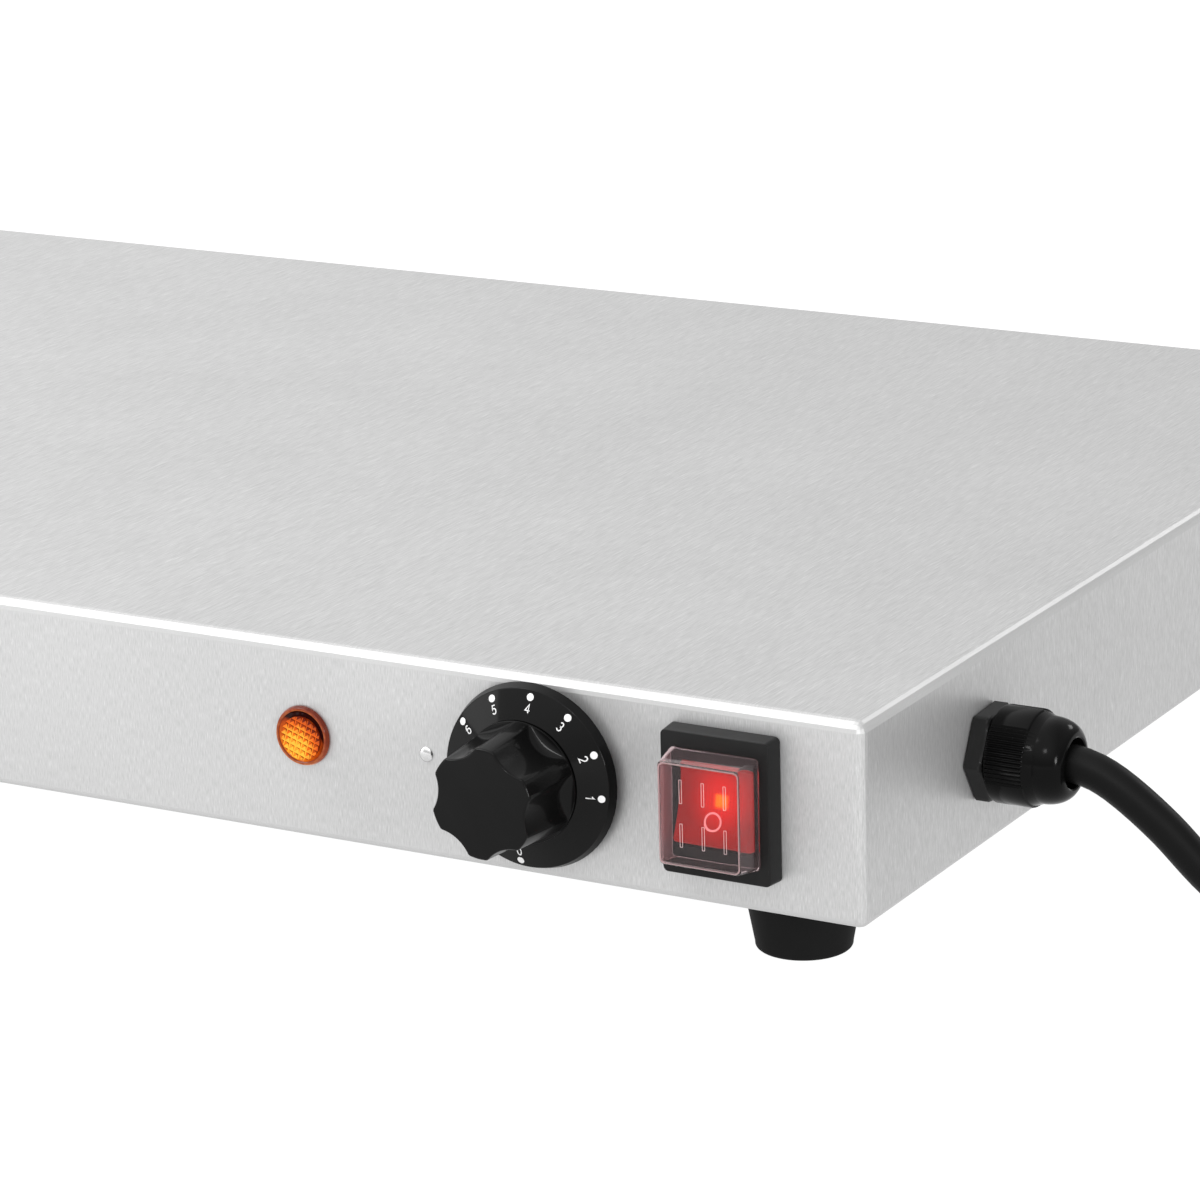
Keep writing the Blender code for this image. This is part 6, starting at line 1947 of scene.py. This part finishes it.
    def build(self, bench: Workbench) -> None:
        """Add the cord and its plug.

        Args:
            bench: the bench that adds the pieces.
        """
        cord = bench.add(
            "supply_cord", self.cord_curve(), CORD_SHEATH, Matrix(),
            stands_for=("cord_lead", "cord_coil", "cord_tail"),
        )
        end = self.route()[-1] + Vector((0, self.butt_gap, 0))
        lie = Matrix.Translation(end) @ Matrix.Rotation(-math.pi / 2, 4, "X")
        plug = bench.add("round_plug", self.plug_mesh(), CORD_SHEATH, lie, stands_for=("plug_body",))
        bench.dress(BRASS, "plug_pin_1", "plug_pin_2")
        bench.dress(CORD_SHEATH, "cord_inner")


@dataclass
class Interior:
    """Finishes of the pieces inside the shell."""

    finishes: tuple[tuple[Finish, tuple[str, ...]], ...] = (
        (MILL_ALUMINIUM, ("heat_spreader",)),
        (HEATED_SHEATH, ("heating_element",)),
        (MINERAL_WOOL, ("insulation_blanket",)),
        (ZINC, ("clamp_bar_left", "clamp_bar_right", "clamp_nut_1", "clamp_nut_2")),
        (ZINC, ("clamp_nut_3", "clamp_nut_4", "thermostat_screw_1", "thermostat_screw_2")),
        (STEATITE, ("thermostat_body",)),
        (COPPER, ("thermostat_capillary",)),
        (BRASS, ("earth_nut",)),
        (BROWN_VINYL, ("lead_live_in", "lead_live_out", "lead_thermostat_out", "pilot_lead_live")),
        (BLUE_VINYL, ("lead_neutral_in", "lead_neutral_out", "pilot_lead_neutral")),
        (EARTH_VINYL, ("lead_earth",)),
    )

    def build(self, bench: Workbench) -> None:
        """Dress every inner node.

        Args:
            bench: the bench that dresses the nodes.
        """
        for finish, nodes in self.finishes:
            bench.dress(finish, *nodes)


@dataclass(frozen=True)
class SoftBox:
    """A studio lamp behind a diffuser: its middle, its width and height, its power in watts."""

    name: str
    place: tuple[float, float, float]
    size: tuple[float, float]
    power: float


@dataclass
class Studio:
    """Pale floor, soft lights and the camera at the photograph's viewing angle."""

    # Camera, as fitted to the edges of the tray
    focal_mm: float = 141.618
    sensor_mm: float = 36.0
    camera_place: tuple[float, float, float] = (0.7864, -1.1777, 0.4378)
    azimuth_deg: float = 30.02
    elevation_deg: float = 16.48
    roll_deg: float = -1.57
    sight_end: float = 50.0
    floor_radius: float = 8.0
    # Surroundings: brighter overhead and dimmer toward the back right
    sky_colour: str = "#ffffff"
    sky_strength: float = 0.74
    ceiling_strength: float = 1.95
    ceiling_span: tuple[float, float] = (0.0, 0.75)
    dim_way: tuple[float, float, float] = (0.8, 0.6, 0.0)
    dim_span: tuple[float, float] = (-0.15, 0.35)
    dim_share: float = 0.46
    # Lamps, all turned to one place on the tray
    aim: tuple[float, float, float] = (0.1, -0.1, 0.05)
    soft_boxes: tuple[SoftBox, ...] = (
        SoftBox("overhead_soft_box", (-1.15, -0.95, 1.9), (1.2, 1.2), 24),
        SoftBox("left_soft_box", (-2.0, -1.6, 0.55), (0.9, 0.9), 7),
        SoftBox("right_soft_box", (1.55, -0.95, 0.35), (0.2, 0.35), 10),
        SoftBox("rear_soft_box", (0.95, 2.2, 1.28), (0.7, 0.5), 7.5),
        SoftBox("edge_soft_box", (0.55, -1.65, 1.35), (0.3, 0.3), 5),
    )

    def add_camera(self) -> None:
        """Make the camera and set it as the scene's own."""
        azimuth, elevation, roll = (
            math.radians(angle) for angle in (self.azimuth_deg, self.elevation_deg, self.roll_deg)
        )
        right = Vector((math.cos(azimuth), math.sin(azimuth), 0))
        ahead = Vector((
            -math.sin(azimuth) * math.cos(elevation),
            math.cos(azimuth) * math.cos(elevation),
            -math.sin(elevation),
        ))
        up = right.cross(ahead)
        rolled_right = right * math.cos(roll) + up * math.sin(roll)
        rolled_up = up * math.cos(roll) - right * math.sin(roll)
        basis = Matrix((rolled_right, rolled_up, -ahead)).transposed().to_4x4()
        data = bpy.data.cameras.new("viewpoint")
        data.lens = self.focal_mm
        data.sensor_width = self.sensor_mm
        data.clip_end = self.sight_end
        camera = bpy.data.objects.new("viewpoint", data)
        camera.matrix_world = Matrix.Translation(self.camera_place) @ basis
        bpy.context.scene.collection.objects.link(camera)
        bpy.context.scene.camera = camera

    def add_soft_box(self, box: SoftBox) -> None:
        """Add a soft box aimed at the tray.

        Args:
            box: the lamp.
        """
        data = bpy.data.lights.new(box.name, "AREA")
        data.shape = "RECTANGLE"
        data.size, data.size_y = box.size
        data.energy = box.power
        light = bpy.data.objects.new(box.name, data)
        turn = (Vector(self.aim) - Vector(box.place)).to_track_quat("-Z", "Y")
        light.matrix_world = Matrix.Translation(box.place) @ turn.to_matrix().to_4x4()
        bpy.context.scene.collection.objects.link(light)

    def add_sky(self) -> None:
        """Give the surroundings a pale tone, brighter overhead and dimmer to the back right."""
        world = bpy.data.worlds.new("studio_surroundings")
        world.use_nodes = True
        tree = world.node_tree
        way = add_node(tree, "TexCoord", output="Generated")
        share = add_node(tree, "VectorMath:DOT_PRODUCT", {0: way, 1: self.dim_way}, "Value")
        side = add_node(tree, "MapRange", {
            "Value": share, "From Min": self.dim_span[0], "From Max": self.dim_span[1],
            "To Min": 1.0, "To Max": self.dim_share,
        })
        overhead = add_node(tree, "MapRange:SMOOTHSTEP", {
            "Value": add_node(tree, "SeparateXYZ", {"Vector": way}, "Z"),
            "From Min": self.ceiling_span[0], "From Max": self.ceiling_span[1],
            "To Min": self.sky_strength, "To Max": self.ceiling_strength,
        })
        level = add_node(tree, "Math:MULTIPLY", {0: side, 1: overhead})
        feed(tree.nodes["Background"], {"Color": linear(self.sky_colour), "Strength": level})
        bpy.context.scene.world = world

    def add_floor(self) -> None:
        """Lay the floor."""
        bm = bmesh.new()
        bmesh.ops.create_circle(bm, cap_ends=True, segments=96, radius=self.floor_radius)
        mesh = finished(bm, "floor")
        mesh.materials.append(TABLE.material())
        floor = bpy.data.objects.new("floor", mesh)
        bpy.context.scene.collection.objects.link(floor)

    def build(self) -> None:
        """Set up the camera, the light and the floor."""
        self.add_camera()
        self.add_sky()
        self.add_floor()
        for box in self.soft_boxes:
            self.add_soft_box(box)
        bpy.context.scene.view_settings.view_transform = "Standard"
        LOG.info("studio set up")


def main() -> None:
    """Build every sub-assembly in order."""
    logging.basicConfig(level=logging.INFO, format="%(name)s: %(message)s")
    Studio().build()
    bench = Workbench()
    for assembly in (
        SupplyCord(), Shell(), PilotLamp(), Dial(), CoveredSwitch(), CableGland(), Interior(),
    ):
        assembly.build(bench)
        LOG.info("%s built", type(assembly).__name__)
    LOG.info("%d pieces added", len(bench.pieces))


if __name__ == "__main__":
    main()
